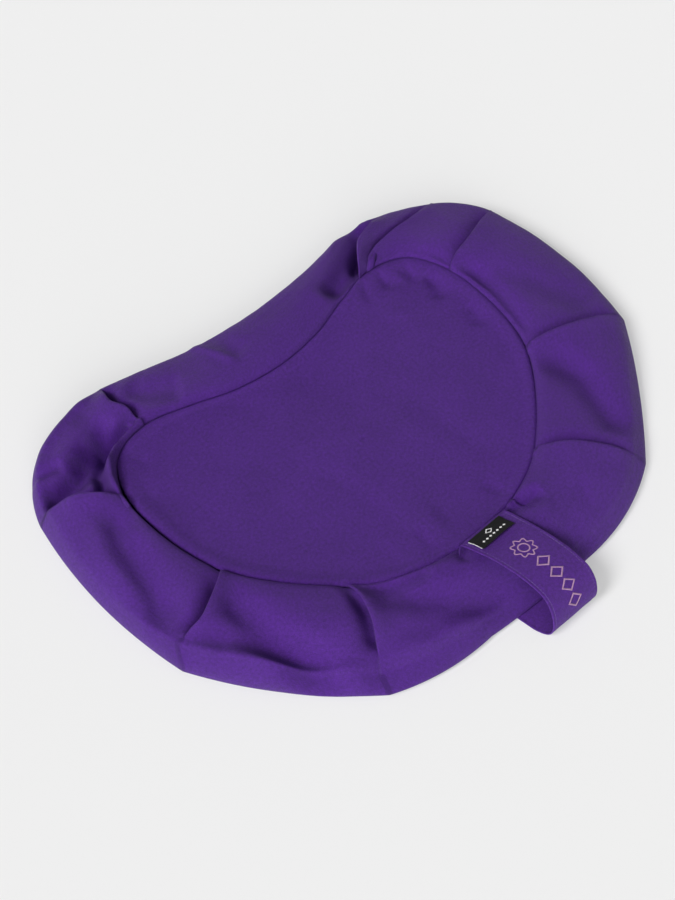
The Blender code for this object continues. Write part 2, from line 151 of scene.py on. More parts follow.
# The band's twelve pleats, clockwise from the hollow side
PLEATS = [
    pleat(1, 12, 6, 15, 0.92, (106, 106), (118, 122), (129, 132), (149, 140), (168, 149), (169.5, 150.5)),
    pleat(1, 8, 2, 5.5, 1, (116, 107.8), (128, 117), (150, 121.5), (180, 124), (211, 130), (217, 133)),
    pleat(1, 10, 1.6, 5, 1, (167, 63), (178, 69), (203, 76), (243, 92), (248, 94)),
    pleat(1, 10, 1.8, 5, 1, (157, -35), (172, -38), (195, -45), (242, -58), (248, -60)),
    pleat(1, 10, 2.2, 5, 1, (90, -110), (114, -127), (137, -149), (151, -162), (158, -168)),
    pleat(1, 8, 0.8, 3, 0.25, (44, -131.2), (49, -146), (56, -170), (60, -190), (62, -198)),
    pleat(-1, 3, 0, 3, 0.15, (-13, -135.7), (-22, -146), (-31, -168), (-36, -190), (-38, -198)),
    pleat(-1, 10, 4, 12, 0.86, (-98, -105), (-98.5, -120), (-106, -142), (-116, -158), (-124, -170),
          (-127, -184)),
    pleat(-1, 10, 4, 12, 0.92, (-157, -34), (-171, -45), (-194, -57.5), (-207, -57), (-220, -57),
          (-226, -70)),
    pleat(-1, 12, 4, 13, 0.92, (-171, 62), (-184, 73), (-199, 86), (-210, 92.5), (-221, 98), (-228, 98)),
    pleat(-1, 0, 0, 0, 0.05, (-150, 98), (-163, 115), (-176, 130), (-188, 145), (-192, 149)),
    pleat(-1, 10, 5, 11, 0.94, (-118, 107.5), (-122, 124), (-127, 138), (-124, 151), (-119, 162),
          (-118.5, 163.5)),
]

# How much lower than elsewhere the ridge lies at each pleat, clockwise
RIDGE_DROPS = mm([0, 0, 1, 2, 4, 6, 7, 7, 5, 2, 0, 0])

# How far each facet's ridge and wall bow outwards between its two corners, clockwise
FACET_BOWS = mm([2, 4, 10, 4, 8, 2, 6, 9, 10, 6, 4])

# The zip, on an arc in the hollow side
ZIP_CENTRE = array((0.018, 0.541))
ZIP_RADIUS = 0.400
ZIP_END = math.radians(15.0)
ZIP_Z = 0.0096
OPENING_Z = (0.0047, 0.0145)
COIL_END = math.radians(14.3)
COIL_WIDTH = 0.0025
COIL_PITCH = 0.0013
COIL_WIRE = 0.00032
TAPE_END = math.radians(14.9)
ZIP_SLIT = 0.0006

# How thick the cloth is, alone and where it is doubled
TWILL = 0.0006
DOUBLE_TWILL = 0.0009

# Where the middle of each embroidered motif lies, along the strap from its seam
ROSETTE_ARC = 0.0385
LOZENGE_ARCS = (0.0560, 0.0685, 0.0810, 0.0935)


def stroke(amount, width, *line):
    """A soft valley or swell in the cloth, in millimetres: height, half width and points in plan."""
    return mm(line), *mm((amount, width))


# Strokes on the band, each with the facets that it shapes. Facet 0 lies between the first two pleats,
# and facet 11 is the plain hollow side.
BAND_STROKES = [
    # left side: a crest from each pleat's end, with a steep valley on the seam's side of it
    ((8,), stroke(-8.5, 12.5, (-180, 70), (-198, 34), (-200, 4), (-206, -22), (-216, -50))),
    ((8,), stroke(3, 9, (-196, 66), (-214, 30), (-218, -4), (-226, -40))),
    ((7,), stroke(-9, 12, (-158, -38), (-170, -66), (-166, -103), (-160, -137), (-148, -176))),
    ((7,), stroke(3, 9, (-188, -58), (-190, -90), (-182, -125), (-172, -155))),
    ((5, 6), stroke(-6.8, 12.5, (-98, -112), (-66, -152), (-30, -180), (0, -196))),
    ((6,), stroke(-3.5, 7, (-100, -108), (-70, -128), (-40, -140))),
    # near side: the rolled ridge above the wall
    ((7,), stroke(4.2, 7, (-220, -58), (-186, -106), (-152, -148), (-120, -172))),
    ((7, 8), stroke(3.6, 4.2, (-231, 20), (-229, -20), (-220, -57), (-202, -90), (-179, -119),
        (-148, -150), (-124, -170))),
    ((7,), stroke(-4.6, 8.5, (-206, -62), (-178, -98), (-136, -148))),
    ((4, 5, 6), stroke(4.2, 7, (-132, -158), (-80, -180), (-30, -189), (40, -196))),
    # left lobe: the pit behind the rolled edge, the rim, the roll, and the crease at the outer edge
    ((9, 10), stroke(-21.5, 11, (-226, 100), (-206, 101), (-184, 104), (-164, 113), (-132, 122))),
    ((9, 10), stroke(6, 7, (-224, 96), (-219, 120), (-196, 143), (-160, 160), (-120, 163))),
    ((9, 10), stroke(-13, 5, (-108, 117), (-154, 111.5), (-170, 99), (-179, 80), (-186, 48))),
    ((9, 10), stroke(11, 4, (-100, 108), (-146, 104), (-160, 94.5), (-169, 79), (-178, 36))),
    ((9, 10), stroke(-6, 4, (-216, 130), (-204, 125), (-186, 120))),
    # hollow side
    ((11,), stroke(-5, 12, (-110, 146), (-100, 128), (-72, 112))),
    ((11,), stroke(2.2, 4, (-42, 150), (-36, 132), (-26, 100))),
    ((11,), stroke(-2.2, 9, (-24, 145), (-18, 104))),
    ((11,), stroke(-15, 11, (66, 104), (88, 114), (108, 124), (132, 137), (156, 150))),
    # right side
    ((2,), stroke(-5, 7, (171, 70), (180, 46), (178, 16), (170, -12), (160, -35))),
    ((2,), stroke(-3, 14.5, (172, 62), (205, 10), (232, -50))),
    ((3,), stroke(-8, 14, (160, -40), (168, -85), (154, -150))),
    ((1,), stroke(-5, 8, (114, 112), (140, 102), (164, 80), (172, 60))),
    ((1,), stroke(-1.2, 12, (128, 117), (165, 108), (205, 108))),
    ((4, 5), stroke(-1.5, 12, (60, -150), (98, -165))),
    # beside and under the strap
    ((4, 5, 6), stroke(-4.5, 26, (15, -110), (18, -155), (22, -220))),
    ((5, 6), stroke(-4.6, 5, (6, -134.5), (-10.5, -140), (-25, -149))),
    ((4, 5), stroke(-6, 6, (30, -131), (44, -139), (68, -143))),
]
PANEL_STROKES = [
    # gathers at the right lobe's seam
    stroke(-1.4, 4, (109, 116), (96, 80)),
    stroke(-2, 3.2, (122, 116), (119, 80)),
    stroke(1.4, 4, (131, 113), (131, 78)),
    stroke(-2, 3.6, (148, 108), (138, 72)),
    stroke(-1.6, 4, (168, 84), (144, 62)),
    stroke(-1.2, 4.5, (-150, 108), (-136, 72)),
    stroke(-1.4, 5, (50, -142), (40, -100)),
    stroke(-1, 5, (-30, -142), (-26, -100)),
    # broad unevenness
    stroke(-3, 8, (155, 75), (143, 45)),
    stroke(-2, 8, (158, 30), (146, 5)),
    stroke(-1.2, 20, (-10, 76), (40, 20)),
    stroke(1.4, 14, (120, 85), (100, 50)),
    stroke(-1.6, 16, (-150, 60), (-140, 0)),
    stroke(1.4, 22, (-60, -105), (0, -110)),
    stroke(1.6, 45, (60, -40), (-40, -60)),
]

# Shares of a stroke's length: over the first it comes in, and after the second it fades out
STROKE_FADES = (0.22, 0.80)

# Small unevenness of each cloth: amount, scale and seed
BAND_RIPPLES = ((0.0011, 0.034, 1.7), (0.0004, 0.012, 5.1))
PANEL_RIPPLES = ((0.0012, 0.060, 9.3), (0.0003, 0.014, 2.2))
STRAP_RIPPLES = ((0.00035, 0.016, 4.4), (0.00012, 0.005, 7.7))


def near_line(points, line):
    """Each point's distance to a line, and how far along the line it is nearest, from 0 to 1."""
    line = array(line)
    lengths = lengths_along(line)
    best, share = np.full(len(points), np.inf), np.zeros(len(points))
    for k, (a, b) in enumerate(zip(line, line[1:])):
        along = b - a
        t = np.clip(((points - a) @ along) / (along @ along), 0, 1)
        distance = np.linalg.norm(points - a - t[:, None] * along, axis=1)
        nearer = distance < best
        best[nearer] = distance[nearer]
        share[nearer] = (lengths[k] + t[nearer] * (lengths[k + 1] - lengths[k])) / lengths[-1]
    return best, share


def strokes_at(points, strokes):
    """Height that the valleys and swells add at each point. Each fades out at its two ends."""
    height = np.zeros(len(points))
    for line, amount, width in strokes:
        distance, share = near_line(points, line)
        faded = smoothstep(share, 0.0, STROKE_FADES[0]) * (1 - smoothstep(share, STROKE_FADES[1], 1.0))
        height += amount * faded * np.exp(-((distance / width) ** 2))
    return height


def rippled(height, points, ripples):
    """The heights, made slightly uneven."""
    for amount, scale, seed in ripples:
        height = height + [amount * noise.noise((x / scale, y / scale, seed)) for x, y in points]
    return height


# Mesh making
def add_object(name, data):
    obj = bpy.data.objects.new(name, data)
    bpy.context.scene.collection.objects.link(obj)
    return obj


def new_mesh_object(name, vertices, faces):
    mesh = bpy.data.meshes.new(name)
    mesh.from_pydata([tuple(v) for v in vertices], [], [tuple(int(i) for i in f) for f in faces])
    mesh.validate()
    mesh.shade_smooth()
    return add_object(name, mesh)


def grid_faces(columns, rows, closed=False):
    """Quads of a grid whose points run row by row within each column, columns going clockwise."""
    faces = []
    for c in range(columns if closed else columns - 1):
        d = (c + 1) % columns
        for r in range(rows - 1):
            faces.append((c * rows + r, d * rows + r, d * rows + r + 1, c * rows + r + 1))
    return faces


def set_grain(obj, grain):
    """Where each point lies on the flat cloth, in metres, so that the weave follows the cloth."""
    attribute = obj.data.attributes.new("grain", "FLOAT_VECTOR", "POINT")
    values = np.zeros((len(obj.data.vertices), 3), np.float32)
    values[:, : grain.shape[1]] = grain
    attribute.data.foreach_set("vector", values.ravel())


def add_modifier(obj, kind, **settings):
    modifier = obj.modifiers.new(kind.lower(), kind)
    set_all(modifier, **settings)
    return modifier


def apply_modifiers(obj):
    bpy.context.view_layer.update()
    graph = bpy.context.evaluated_depsgraph_get()
    mesh = bpy.data.meshes.new_from_object(obj.evaluated_get(graph))
    obj.modifiers.clear()
    obj.data = mesh


def to_frame(plan, heights):
    return np.column_stack([plan + CENTRE, heights])


def thicken(obj, thickness, offset=0.0):
    """An offset of -1 thickens a cloth inwards, and 0 to both sides."""
    add_modifier(obj, "SOLIDIFY", thickness=thickness, offset=offset)
    return obj


def cloth_object(name, points, faces, grain, thickness):
    """A piece of cloth with that thickness and grain, which lies evenly about the points."""
    obj = new_mesh_object(name, points, faces)
    set_grain(obj, grain)
    return thicken(obj, thickness)


def set_all(thing, **settings):
    for name, value in settings.items():
        setattr(thing, name, value)


# Cloth simulation
SIM_FRAMES = 16

# How much too large a cloth is, how far a point of it may move, and how stiffly it bends
BAND_SLACK = (0.010, 0.0016, 0.3)
PANEL_SLACK = (0.012, 0.0016, 0.6)


def slacken(obj, hold, slack, most, bending):
    """Lets a piece of cloth buckle: it is a little too large for the edges that hold it.

    hold is from 1, sewn down, to 0, free, at each vertex. No point moves further than the limit.
    """
    start = array([v.co for v in obj.data.vertices])
    group = obj.vertex_groups.new(name="hold")
    for level in np.unique(np.round(hold, 2)):
        where = [int(i) for i in np.flatnonzero(np.round(hold, 2) == level)]
        group.add(where, float(level), "REPLACE")
    set_all(
        add_modifier(obj, "CLOTH").settings, quality=5, mass=0.2, tension_stiffness=12,
        compression_stiffness=12, shear_stiffness=4, bending_stiffness=bending, air_damping=4,
        vertex_group_mass="hold", shrink_min=-slack, shrink_max=-slack,
    )
    for frame_number in range(1, SIM_FRAMES + 1):
        bpy.context.scene.frame_set(frame_number)
    graph = bpy.context.evaluated_depsgraph_get()
    settled = array([v.co for v in obj.evaluated_get(graph).data.vertices])
    moved = settled - start
    length = np.linalg.norm(moved, axis=1, keepdims=True)
    moved *= most * np.tanh(length / most) / np.maximum(length, 1e-9)
    obj.modifiers.clear()
    obj.vertex_groups.clear()
    obj.data.vertices.foreach_set("co", (start + moved).astype(np.float32).ravel())
    obj.data.update()
    bpy.context.scene.frame_set(1)


# The band
def seam_index(point):
    return int(np.argmin(np.linalg.norm(OUTLINE - array(point), axis=1)))


def seam_stretch(start, end, shares):
    first, last = seam_index(start), seam_index(end)
    if last <= first:
        last += len(OUTLINE)
    path = OUTLINE[np.arange(first, last + 1) % len(OUTLINE)]
    return at_shares(path, shares)


def bowed(start, end, bow, shares):
    start, end = array(start), array(end)
    along = (end - start) / np.linalg.norm(end - start)
    side = array((-along[1], along[0]))
    shares = np.asarray(shares)[:, None]
    return start + (end - start) * shares + side * bow * 4 * shares * (1 - shares)


TOP_SHARES = np.array([0.0, 0.012, 0.03, 0.055, 0.085, *np.linspace(0.12, 0.94, 29), 0.965, 0.985, 1.0])
WALL_ROWS = 8
UNDER_SHARES = np.linspace(0, 1, 14)[1:]
COLUMN_STEP = 0.0024
EDGE_SAMPLES = 60

# The band's top, from the seam outwards: share of the way, and height above the seam
SECTION = array([
    (0.0, -0.0022), (0.012, 0.0002), (0.03, 0.0026), (0.06, 0.0044), (0.12, 0.0060), (0.25, 0.0070),
    (0.42, 0.0066), (0.60, 0.0050), (0.78, 0.0024), (0.90, -0.0004), (0.96, -0.0028), (1.0, -0.0062),
])

# How far to each side a pleat shapes the cloth: the layer over it, and the one under
OVER_WIDTH, UNDER_WIDTH = 0.011, 0.0085


def coons(inner, outer, left, right, u, s):
    """Plan points of a facet's grid, columns by rows, from its four edges."""
    u, s = u[:, None, None], s[None, :, None]
    ruled = (1 - s) * inner[:, None] + s * outer[:, None]
    sides = (1 - u) * left[None] + u * right[None]
    corners = (1 - u) * ((1 - s) * inner[0] + s * outer[0]) + u * ((1 - s) * inner[-1] + s * outer[-1])
    return ruled + sides - corners


def fold_profile(shares, reach):
    """How strongly a pleat's edge lifts along its fold: little at the seam, most at the middle."""
    x = np.clip(shares / reach, 0, 1)
    return (0.25 + 0.75 * smoothstep(x, 0.0, 0.35)) * (1 - smoothstep(x, 0.72, 1.0))


def facet_grid(number, left, right, ridge):
    """One facet of the band's top: plan points, heights above the seam, and column shares."""
    seam = seam_stretch(left["fold"][0], right["fold"][0], np.linspace(0, 1, EDGE_SAMPLES))
    length = max(lengths_along(seam)[-1], lengths_along(ridge)[-1])
    u = np.linspace(0, 1, max(6, int(length / COLUMN_STEP)))
    s = TOP_SHARES
    sides = [at_shares(catmull_rom(pleat["fold"], 24), s) for pleat in (left, right)]
    plan = coons(at_shares(seam, u), at_shares(ridge, u), sides[0], sides[1], u, s)
    height = np.broadcast_to(np.interp(s, SECTION[:, 0], SECTION[:, 1]), (len(u), len(s))).copy()
    drops = RIDGE_DROPS[number], RIDGE_DROPS[(number + 1) % len(RIDGE_DROPS)]
    height -= np.interp(u, (0, 1), drops)[:, None] * smoothstep(s, 0.45, 1.0)
    flat = plan.reshape(-1, 2)
    strokes = [stroke for facets, stroke in BAND_STROKES if number in facets]
    sculpted = rippled(strokes_at(flat, strokes), flat, BAND_RIPPLES)
    height += sculpted.reshape(height.shape) * smoothstep(s, 0.0, 0.10)
    for pleat, edge, facet_over in ((left, plan[:1], 1), (right, plan[-1:], -1)):
        from_fold = np.linalg.norm(plan - edge, axis=2)
        is_over = pleat["over"] == facet_over
        amount = pleat["lift"] if is_over else -pleat["sink"]
        width = OVER_WIDTH if is_over else UNDER_WIDTH
        height += amount * fold_profile(s, pleat["reach"]) * np.exp(-((from_fold / width) ** 2))
    return plan, height, u


def fold_columns(pleat, before, after):
    """The hidden layers of a pleat, between the facet before it and the facet after it."""
    (plan_a, height_a), (plan_b, height_b) = before[:2], after[:2]
    s = TOP_SHARES
    left = np.clip(1 - s / pleat["reach"], 0, 1)
    depth = pleat["depth"] * left[:, None] ** 0.8
    if pleat["over"] == 1:
        into = unit(plan_b[3] - plan_b[0])
        low, high, edge = height_a[-1], height_b[0], plan_b[0]
    else:
        into = unit(plan_a[-4] - plan_a[-1])
        low, high, edge = height_b[0], height_a[-1], plan_a[-1]
    thin = min(0.0013, pleat["depth"]) * np.minimum(left * 4, 1)
    columns = [
        (edge + into * depth * 0.6, low - thin * 0.5),
        (edge + into * depth, low - thin * 0.2),
        (edge + into * depth * 0.6, low + thin),
        (edge - into * 0.4 * thin[:, None], np.maximum(low + thin, high - 2.0 * thin)),
        (edge - into * 0.8 * thin[:, None], np.maximum(low + 1.3 * thin, high - 1.0 * thin)),
    ]
    return columns if pleat["over"] == 1 else columns[::-1]


# Heights of the cloth that lies on the floor: at the wall's foot, and how much lower at the seam
FOOT_Z = 0.0012
FOOT_DROP = 0.0006


def underside(foot, seam, shares, fade):
    """Rows of plan points and heights from the wall's foot back under to the bottom seam."""
    plans = [foot + (seam - foot) * share for share in shares]
    heights = [np.full(len(foot), FOOT_Z - FOOT_DROP * smoothstep(share, 0, fade)) for share in shares]
    return plans, heights


def wall_and_underside(ridge, ridge_height, corner_line, seam):
    """Rows from the ridge down the wall to the floor and back under to the bottom seam, for each column."""
    plans, heights = [], []
    top = SEAM_Z + ridge_height
    for share in np.linspace(0, 1, WALL_ROWS + 1)[1:]:
        if share < 0.8:
            out = np.sin(math.pi * min(share * 1.25, 1) / 2)
        else:
            out = 1 - 0.35 * ((share - 0.8) / 0.2) ** 2
        plans.append(ridge + (corner_line - ridge) * out)
        heights.append(top * (1 - share) ** 1.1 + FOOT_Z * share)
    under_plans, under_heights = underside(plans[-1], seam, UNDER_SHARES, 0.1)
    return np.stack(plans + under_plans, axis=1), np.stack(heights + under_heights, axis=1)


# How far an end of the band lies below the plain stretch that covers it
TUCK = 0.0008


def pleated_facet(number):
    left, right = PLEATS[number], PLEATS[number + 1]
    ridge = bowed(left["fold"][-1], right["fold"][-1], FACET_BOWS[number], np.linspace(0, 1, EDGE_SAMPLES))
    return facet_grid(number, left, right, ridge)


def hollow_facet():
    """The plain stretch of the band, above the zip."""
    return facet_grid(len(FACET_BOWS), PLEATS[-1], PLEATS[0], hollow_side_edge())


def build_band():
    """The pleated band as one continuous cloth from the first pleat round to the last."""
    facets = [pleated_facet(number) for number in range(len(FACET_BOWS))]
    hollow = hollow_facet()
    facets.append(hollow)
    columns = []
    for i, (plan, height, u) in enumerate(facets[:-1]):
        left, right = PLEATS[i], PLEATS[i + 1]
        wall = bowed(left["corner"], right["corner"], FACET_BOWS[i] * 0.9, u)
        seam = seam_stretch(left["fold"][0], right["fold"][0], u)
        low = list(zip(*wall_and_underside(plan[:, -1], height[:, -1], wall, seam)))
        if i == 0:
            folded = [(hollow[0][-1], hollow[1][-1] - TUCK), *fold_columns(left, hollow, facets[0])]
            columns += [(top, low[0], 1.0) for top in folded]
        columns += [(top, below, 0.0) for top, below in zip(zip(plan, height), low)]
        columns += [(top, low[-1], 1.0) for top in fold_columns(right, facets[i], facets[i + 1])]
    columns.append(((hollow[0][0], hollow[1][0] - TUCK), low[-1], 1.0))
    plan = np.stack([np.vstack([top[0], below[0]]) for top, below, _ in columns])
    height = np.stack([np.append(SEAM_Z + top[1], below[1]) for top, below, _ in columns])
    sewn = array([[held] for _, _, held in columns])
    free = smoothstep(TOP_SHARES, 0.02, 0.14) * (1 - smoothstep(TOP_SHARES, 0.90, 1.0))
    hold = np.maximum(1 - np.append(free, np.zeros(WALL_ROWS + len(UNDER_SHARES))), sewn)
    return cloth_from_columns("pleated_band_cloth", plan, height, TWILL, hold)


def cloth_from_columns(name, plan, height, thickness, hold=None):
    """Cloth that hangs inwards from a grid of points. Where it has a hold, it is left to buckle."""
    count, rows = height.shape
    points = to_frame(plan.reshape(-1, 2), height.ravel())
    obj = new_mesh_object(name, points, grid_faces(count, rows))
    solid = points.reshape(count, rows, 3)
    across = [lengths_along(column) for column in solid]
    around = lengths_along(solid[:, len(TOP_SHARES) // 2])
    set_grain(obj, pairs(np.repeat(around, rows), across))
    if hold is not None:
        slacken(obj, hold.ravel(), *BAND_SLACK)
    add_modifier(obj, "WELD", merge_threshold=0.00003)
    return thicken(obj, thickness, -1.0)


def zip_arc(angle, inwards=0.0):
    angle = np.asarray(angle)
    return ZIP_CENTRE + (ZIP_RADIUS + inwards) * np.stack([np.sin(angle), -np.cos(angle)], axis=-1)


# A corner of the plain stretch's outer edge, between the zip's right end and the first pleat
RIGHT_CORNER = (0.150, 0.1545)


def hollow_side_edge():
    """The outer edge of the band's plain stretch, left to right: corner, zip arc, corner."""
    arc = zip_arc(np.linspace(-ZIP_END, ZIP_END, 60))
    path = np.vstack([PLEATS[-1]["fold"][-1], arc, RIGHT_CORNER, PLEATS[0]["fold"][-1]])
    return at_shares(path, np.linspace(0, 1, 400))


def zip_angle(plan):
    """Angle of plan points round the centre of the zip's arc, from the middle of the zip."""
    return np.arctan2(plan[..., 0] - ZIP_CENTRE[0], ZIP_CENTRE[1] - plan[..., 1])


def opening_share(plan):
    """1 where the zip parts the two panels, closing to 0 beyond its two ends."""
    return 1 - smoothstep(np.abs(zip_angle(plan)), ZIP_END, ZIP_END + math.radians(1.2))


def build_zip_panels():
    """The two strips above and below the zip. The upper one goes on over the band's plain stretch."""
    plan, height, u = hollow_facet()
    edge = plan[:, -1]
    top_z = SEAM_Z + height[:, -1]
    opening = opening_share(edge)
    above = ZIP_Z + 0.0003 + (OPENING_Z[1] - ZIP_Z) * opening
    below = ZIP_Z - 0.0003 - (ZIP_Z - OPENING_Z[0]) * opening
    hanging = [top_z + (above - top_z) * share for share in (0.35, 0.7, 1.0)]
    upper_plan = np.concatenate([plan] + [edge[:, None]] * len(hanging), axis=1)
    upper_height = np.column_stack([SEAM_Z + height, *hanging])
    upper = cloth_from_columns("zip_panel_upper_cloth", upper_plan, upper_height, DOUBLE_TWILL)
    seam = seam_stretch(PLEATS[-1]["fold"][0], PLEATS[0]["fold"][0], u)
    plans, heights = underside(edge, seam, np.linspace(0.012, 1, 18), 0.2)
    lower_plan = np.stack([edge, edge, *plans], axis=1)
    lower_height = np.stack([below, np.full(len(u), 0.0022), *heights], axis=1)
    return upper, cloth_from_columns("zip_panel_lower_cloth", lower_plan, lower_height, TWILL)


# The panels
FLOOR_GAP = 0.0004
PANEL_HUB = array((0.0, -0.015))
PANEL_RINGS = np.concatenate([np.linspace(0.02, 0.93, 60), [0.95, 0.965, 0.978, 0.988, 0.995, 1.0]])


def build_panel(name, strokes, base, edge_drop, facing_up=True):
    """A panel of cloth: rings of points from its middle out to its seam."""
    rings = PANEL_RINGS
    outline = OUTLINE[::4]
    plan = PANEL_HUB + (outline - PANEL_HUB)[:, None] * rings[None, :, None]
    flat = plan.reshape(-1, 2)
    height = rippled(strokes_at(flat, strokes), flat, PANEL_RIPPLES)
    inside = np.tile(1 - rings, len(outline))
    height = height * smoothstep(inside, 0.0, 0.10)
    height += edge_drop * np.exp(-((inside / 0.010) ** 2))
    if not facing_up:
        height = np.maximum(height, FLOOR_GAP - base)
    points = np.vstack([to_frame(flat, base + height), to_frame(PANEL_HUB[None], array([base]))])
    faces = grid_faces(len(outline), len(rings), closed=True)
    centre = len(points) - 1
    inner = np.arange(len(outline)) * len(rings)
    faces += list(zip([centre] * len(inner), np.roll(inner, -1), inner))
    if facing_up:
        faces = [tuple(reversed(face)) for face in faces]
    obj = new_mesh_object(name, points, faces)
    set_grain(obj, points[:, :2].copy())
    if facing_up:
        slacken(obj, np.append(1 - smoothstep(inside, 0.02, 0.10), 0.0), *PANEL_SLACK)
    return thicken(obj, TWILL, -1.0)


# Inside the cover
def inside_outline(inset):
    """The panel's edge moved inwards by that much."""
    along = unit(np.roll(OUTLINE, -1, axis=0) - np.roll(OUTLINE, 1, axis=0))
    return OUTLINE + inset * np.stack([along[:, 1], -along[:, 0]], axis=1)


# The line of a seam's raw edges in plan, inset from the panel's edge, and the way that each of its
# points sways. The middle of the cover's height tells the top seam from the bottom one.
ALLOWANCE_INSET = 0.0030
ALLOWANCE_LINE = inside_outline(ALLOWANCE_INSET)
ALLOWANCE_SIDE = (inside_outline(ALLOWANCE_INSET + 0.0010) - ALLOWANCE_LINE) / 0.0010
HALF_HEIGHT = 0.012

# Along an overlock stitch, up one side, over the raw edge and down the other: distance to the side,
# and share of the way from the raw edge to the seam. The pitch is in points of the line.
OVERLOCK_SIDE = mm((0.75, 0.80, 0.55, 0.0, -0.55, -0.80, -0.75))
OVERLOCK_DEPTH = array((0.80, 0.40, 0.06, 0.0, 0.06, 0.40, 0.80))
OVERLOCK_PITCH = 6
OVERLOCK_RADIUS = 0.00016


def allowance_sway():
    """How far the raw edge sways off the line of its seam, at each point round it."""
    turns = 2 * math.pi * np.arange(len(OUTLINE)) / len(OUTLINE)
    return 0.00040 * np.sin(61 * turns) + 0.00025 * np.sin(97 * turns + 1.3)


def raw_and_seam(z_low, z_high):
    """Heights of the raw edge and the seam: the upper strip hangs down and the lower one stands up."""
    return (z_low, z_high) if z_high > HALF_HEIGHT else (z_high, z_low)


def build_seam_allowance(name, z_low, z_high):
    """The raw edges of a seam inside the cover: a narrow upright strip that sways a little."""
    raw, seam = raw_and_seam(z_low, z_high)
    levels = np.linspace(z_low, z_high, 7)
    sway = allowance_sway()[:, None] * (levels - seam) / (raw - seam)
    plan = ALLOWANCE_LINE[:, None] + ALLOWANCE_SIDE[:, None] * sway[..., None]
    heights = np.tile(levels, len(OUTLINE))
    points = to_frame(plan.reshape(-1, 2), heights)
    faces = grid_faces(len(OUTLINE), len(levels), closed=True)
    grain = pairs(np.repeat(lengths_along(ALLOWANCE_LINE), len(levels)), heights)
    return cloth_object(name, points, faces, grain, DOUBLE_TWILL)


def build_overlock_thread(name, z_low, z_high):
    """Overlock stitches: a loop of thread over the raw edge every few millimetres, slanting along it."""
    raw, seam = raw_and_seam(z_low, z_high)
    heights = raw + (seam - raw) * OVERLOCK_DEPTH
    drift = np.linspace(-0.45, 0.45, len(heights)) * OVERLOCK_PITCH
    wave = allowance_sway()
    strands = []
    for first in range(0, len(OUTLINE), OVERLOCK_PITCH):
        nearest = np.round(first + drift).astype(int) % len(OUTLINE)
        sway = OVERLOCK_SIDE + wave[nearest] * (1 - OVERLOCK_DEPTH)
        plan = ALLOWANCE_LINE[nearest] + ALLOWANCE_SIDE[nearest] * sway[:, None]
        strands.append((to_frame(plan, heights), OVERLOCK_RADIUS))
    return thread_object(name, strands, sides=4)


def build_care_label():
    """A narrow satin ribbon lying on the bottom panel, sewn down along one end."""
    x = np.linspace(-0.055, -0.030, 30)
    y = np.linspace(0.034, 0.076, 48)
    grid_x, grid_y = np.meshgrid(x, y, indexing="ij")
    lifted = (1 - (grid_y - y[0]) / (y[-1] - y[0])) * (0.5 + 0.5 * np.cos((grid_x - x[0]) * 190))
    heights = 0.0018 + 0.0007 * lifted
    points = to_frame(pairs(grid_x, grid_y), heights.ravel())
    faces = [face[::-1] for face in grid_faces(len(x), len(y))]
    return cloth_object("care_label_ribbon", points, faces, points[:, :2], 0.0003)


# Thread
def thread_object(name, strands, sides=6):
    """Thread as one mesh of separate tubes. Each strand is its points and its radius at each of them."""
    vertices, faces = [], []
    turns = [2 * math.pi * k / sides for k in range(sides)]
    for points, radii in strands:
        along = unit(np.gradient(points, axis=0))
        aside = unit(np.cross(along, array((0.31, 0.52, 0.79))))
        above = np.cross(along, aside)
        first = len(vertices)
        last = first + (len(points) - 1) * sides
        for place, a, b, radius in zip(points, aside, above, np.broadcast_to(radii, len(points))):
            vertices += [place + radius * (math.cos(turn) * a + math.sin(turn) * b) for turn in turns]
        for here in range(first, last, sides):
            there = here + sides
            for k in range(sides):
                beside = (k + 1) % sides
                faces.append((here + k, here + beside, there + beside, there + k))
        faces.append(tuple(reversed(range(first, first + sides))))
        faces.append(tuple(range(last, last + sides)))
    return new_mesh_object(name, vertices, faces)


STITCH_SHAPE = np.linspace(0, 1, 7)
STITCH_RADIUS = 0.00024


def stitch_strands(place, start, end, pitch):
    """A row of stitches. place(distances, heights) gives points; each stitch rises out and dips back in."""
    rise = np.sin(math.pi * STITCH_SHAPE) ** 0.5
    heights = STITCH_RADIUS * (1.1 * rise - 0.9)
    radii = STITCH_RADIUS * (0.55 + 0.45 * rise)
    starts = [start + pitch * (k + 0.07 + 0.86 * STITCH_SHAPE) for k in range(int((end - start) / pitch))]
    return [(place(distances, heights), radii) for distances in starts]


# The strap
STRAP_FOOT = array((0.0100, -0.1356))
STRAP_LEAN = math.radians(9.0)
SEAM_LEAN = math.radians(1.0)
STRAP_ACROSS = array((math.cos(SEAM_LEAN), math.sin(SEAM_LEAN)))
STRAP_OUT = array((math.sin(STRAP_LEAN), -math.cos(STRAP_LEAN)))
STRAP_WIDTH = 0.0465
STRAP_HALF_THICK = 0.00058
STRAP_EDGE_ROUND = 0.0006
STRAP_STITCH_INSET = 0.0026
STRAP_ROLL = 0.075
STRAP_SWING = 0.0095

# Distance out from the seam and height of the strap's middle: over, round the loop and back under
STRAP_KNOTS = mm([
    (0.4, 28.4), (6, 30.8), (14, 33), (28, 36), (44, 37.6), (57, 37), (68, 34.4), (78, 29.6),
    (86, 22.6), (90.5, 15), (91.5, 8.5), (89, 3.8), (81.5, 1.8), (70, 1.3), (45, 1.2), (20, 1.2),
    (0.8, 1.2),
])


def strap_line():
    """Along the strap's middle: distances, points, and the directions off its face."""
    line = catmull_rom(STRAP_KNOTS, 30)
    steps = int(lengths_along(line)[-1] / 0.0008)
    line = at_shares(line, np.linspace(0, 1, steps))
    along = unit(np.gradient(line, axis=0))
    return lengths_along(line), line, np.stack([-along[:, 1], along[:, 0]], axis=1)


STRAP_ARC, STRAP_LINE, STRAP_NORMAL = strap_line()


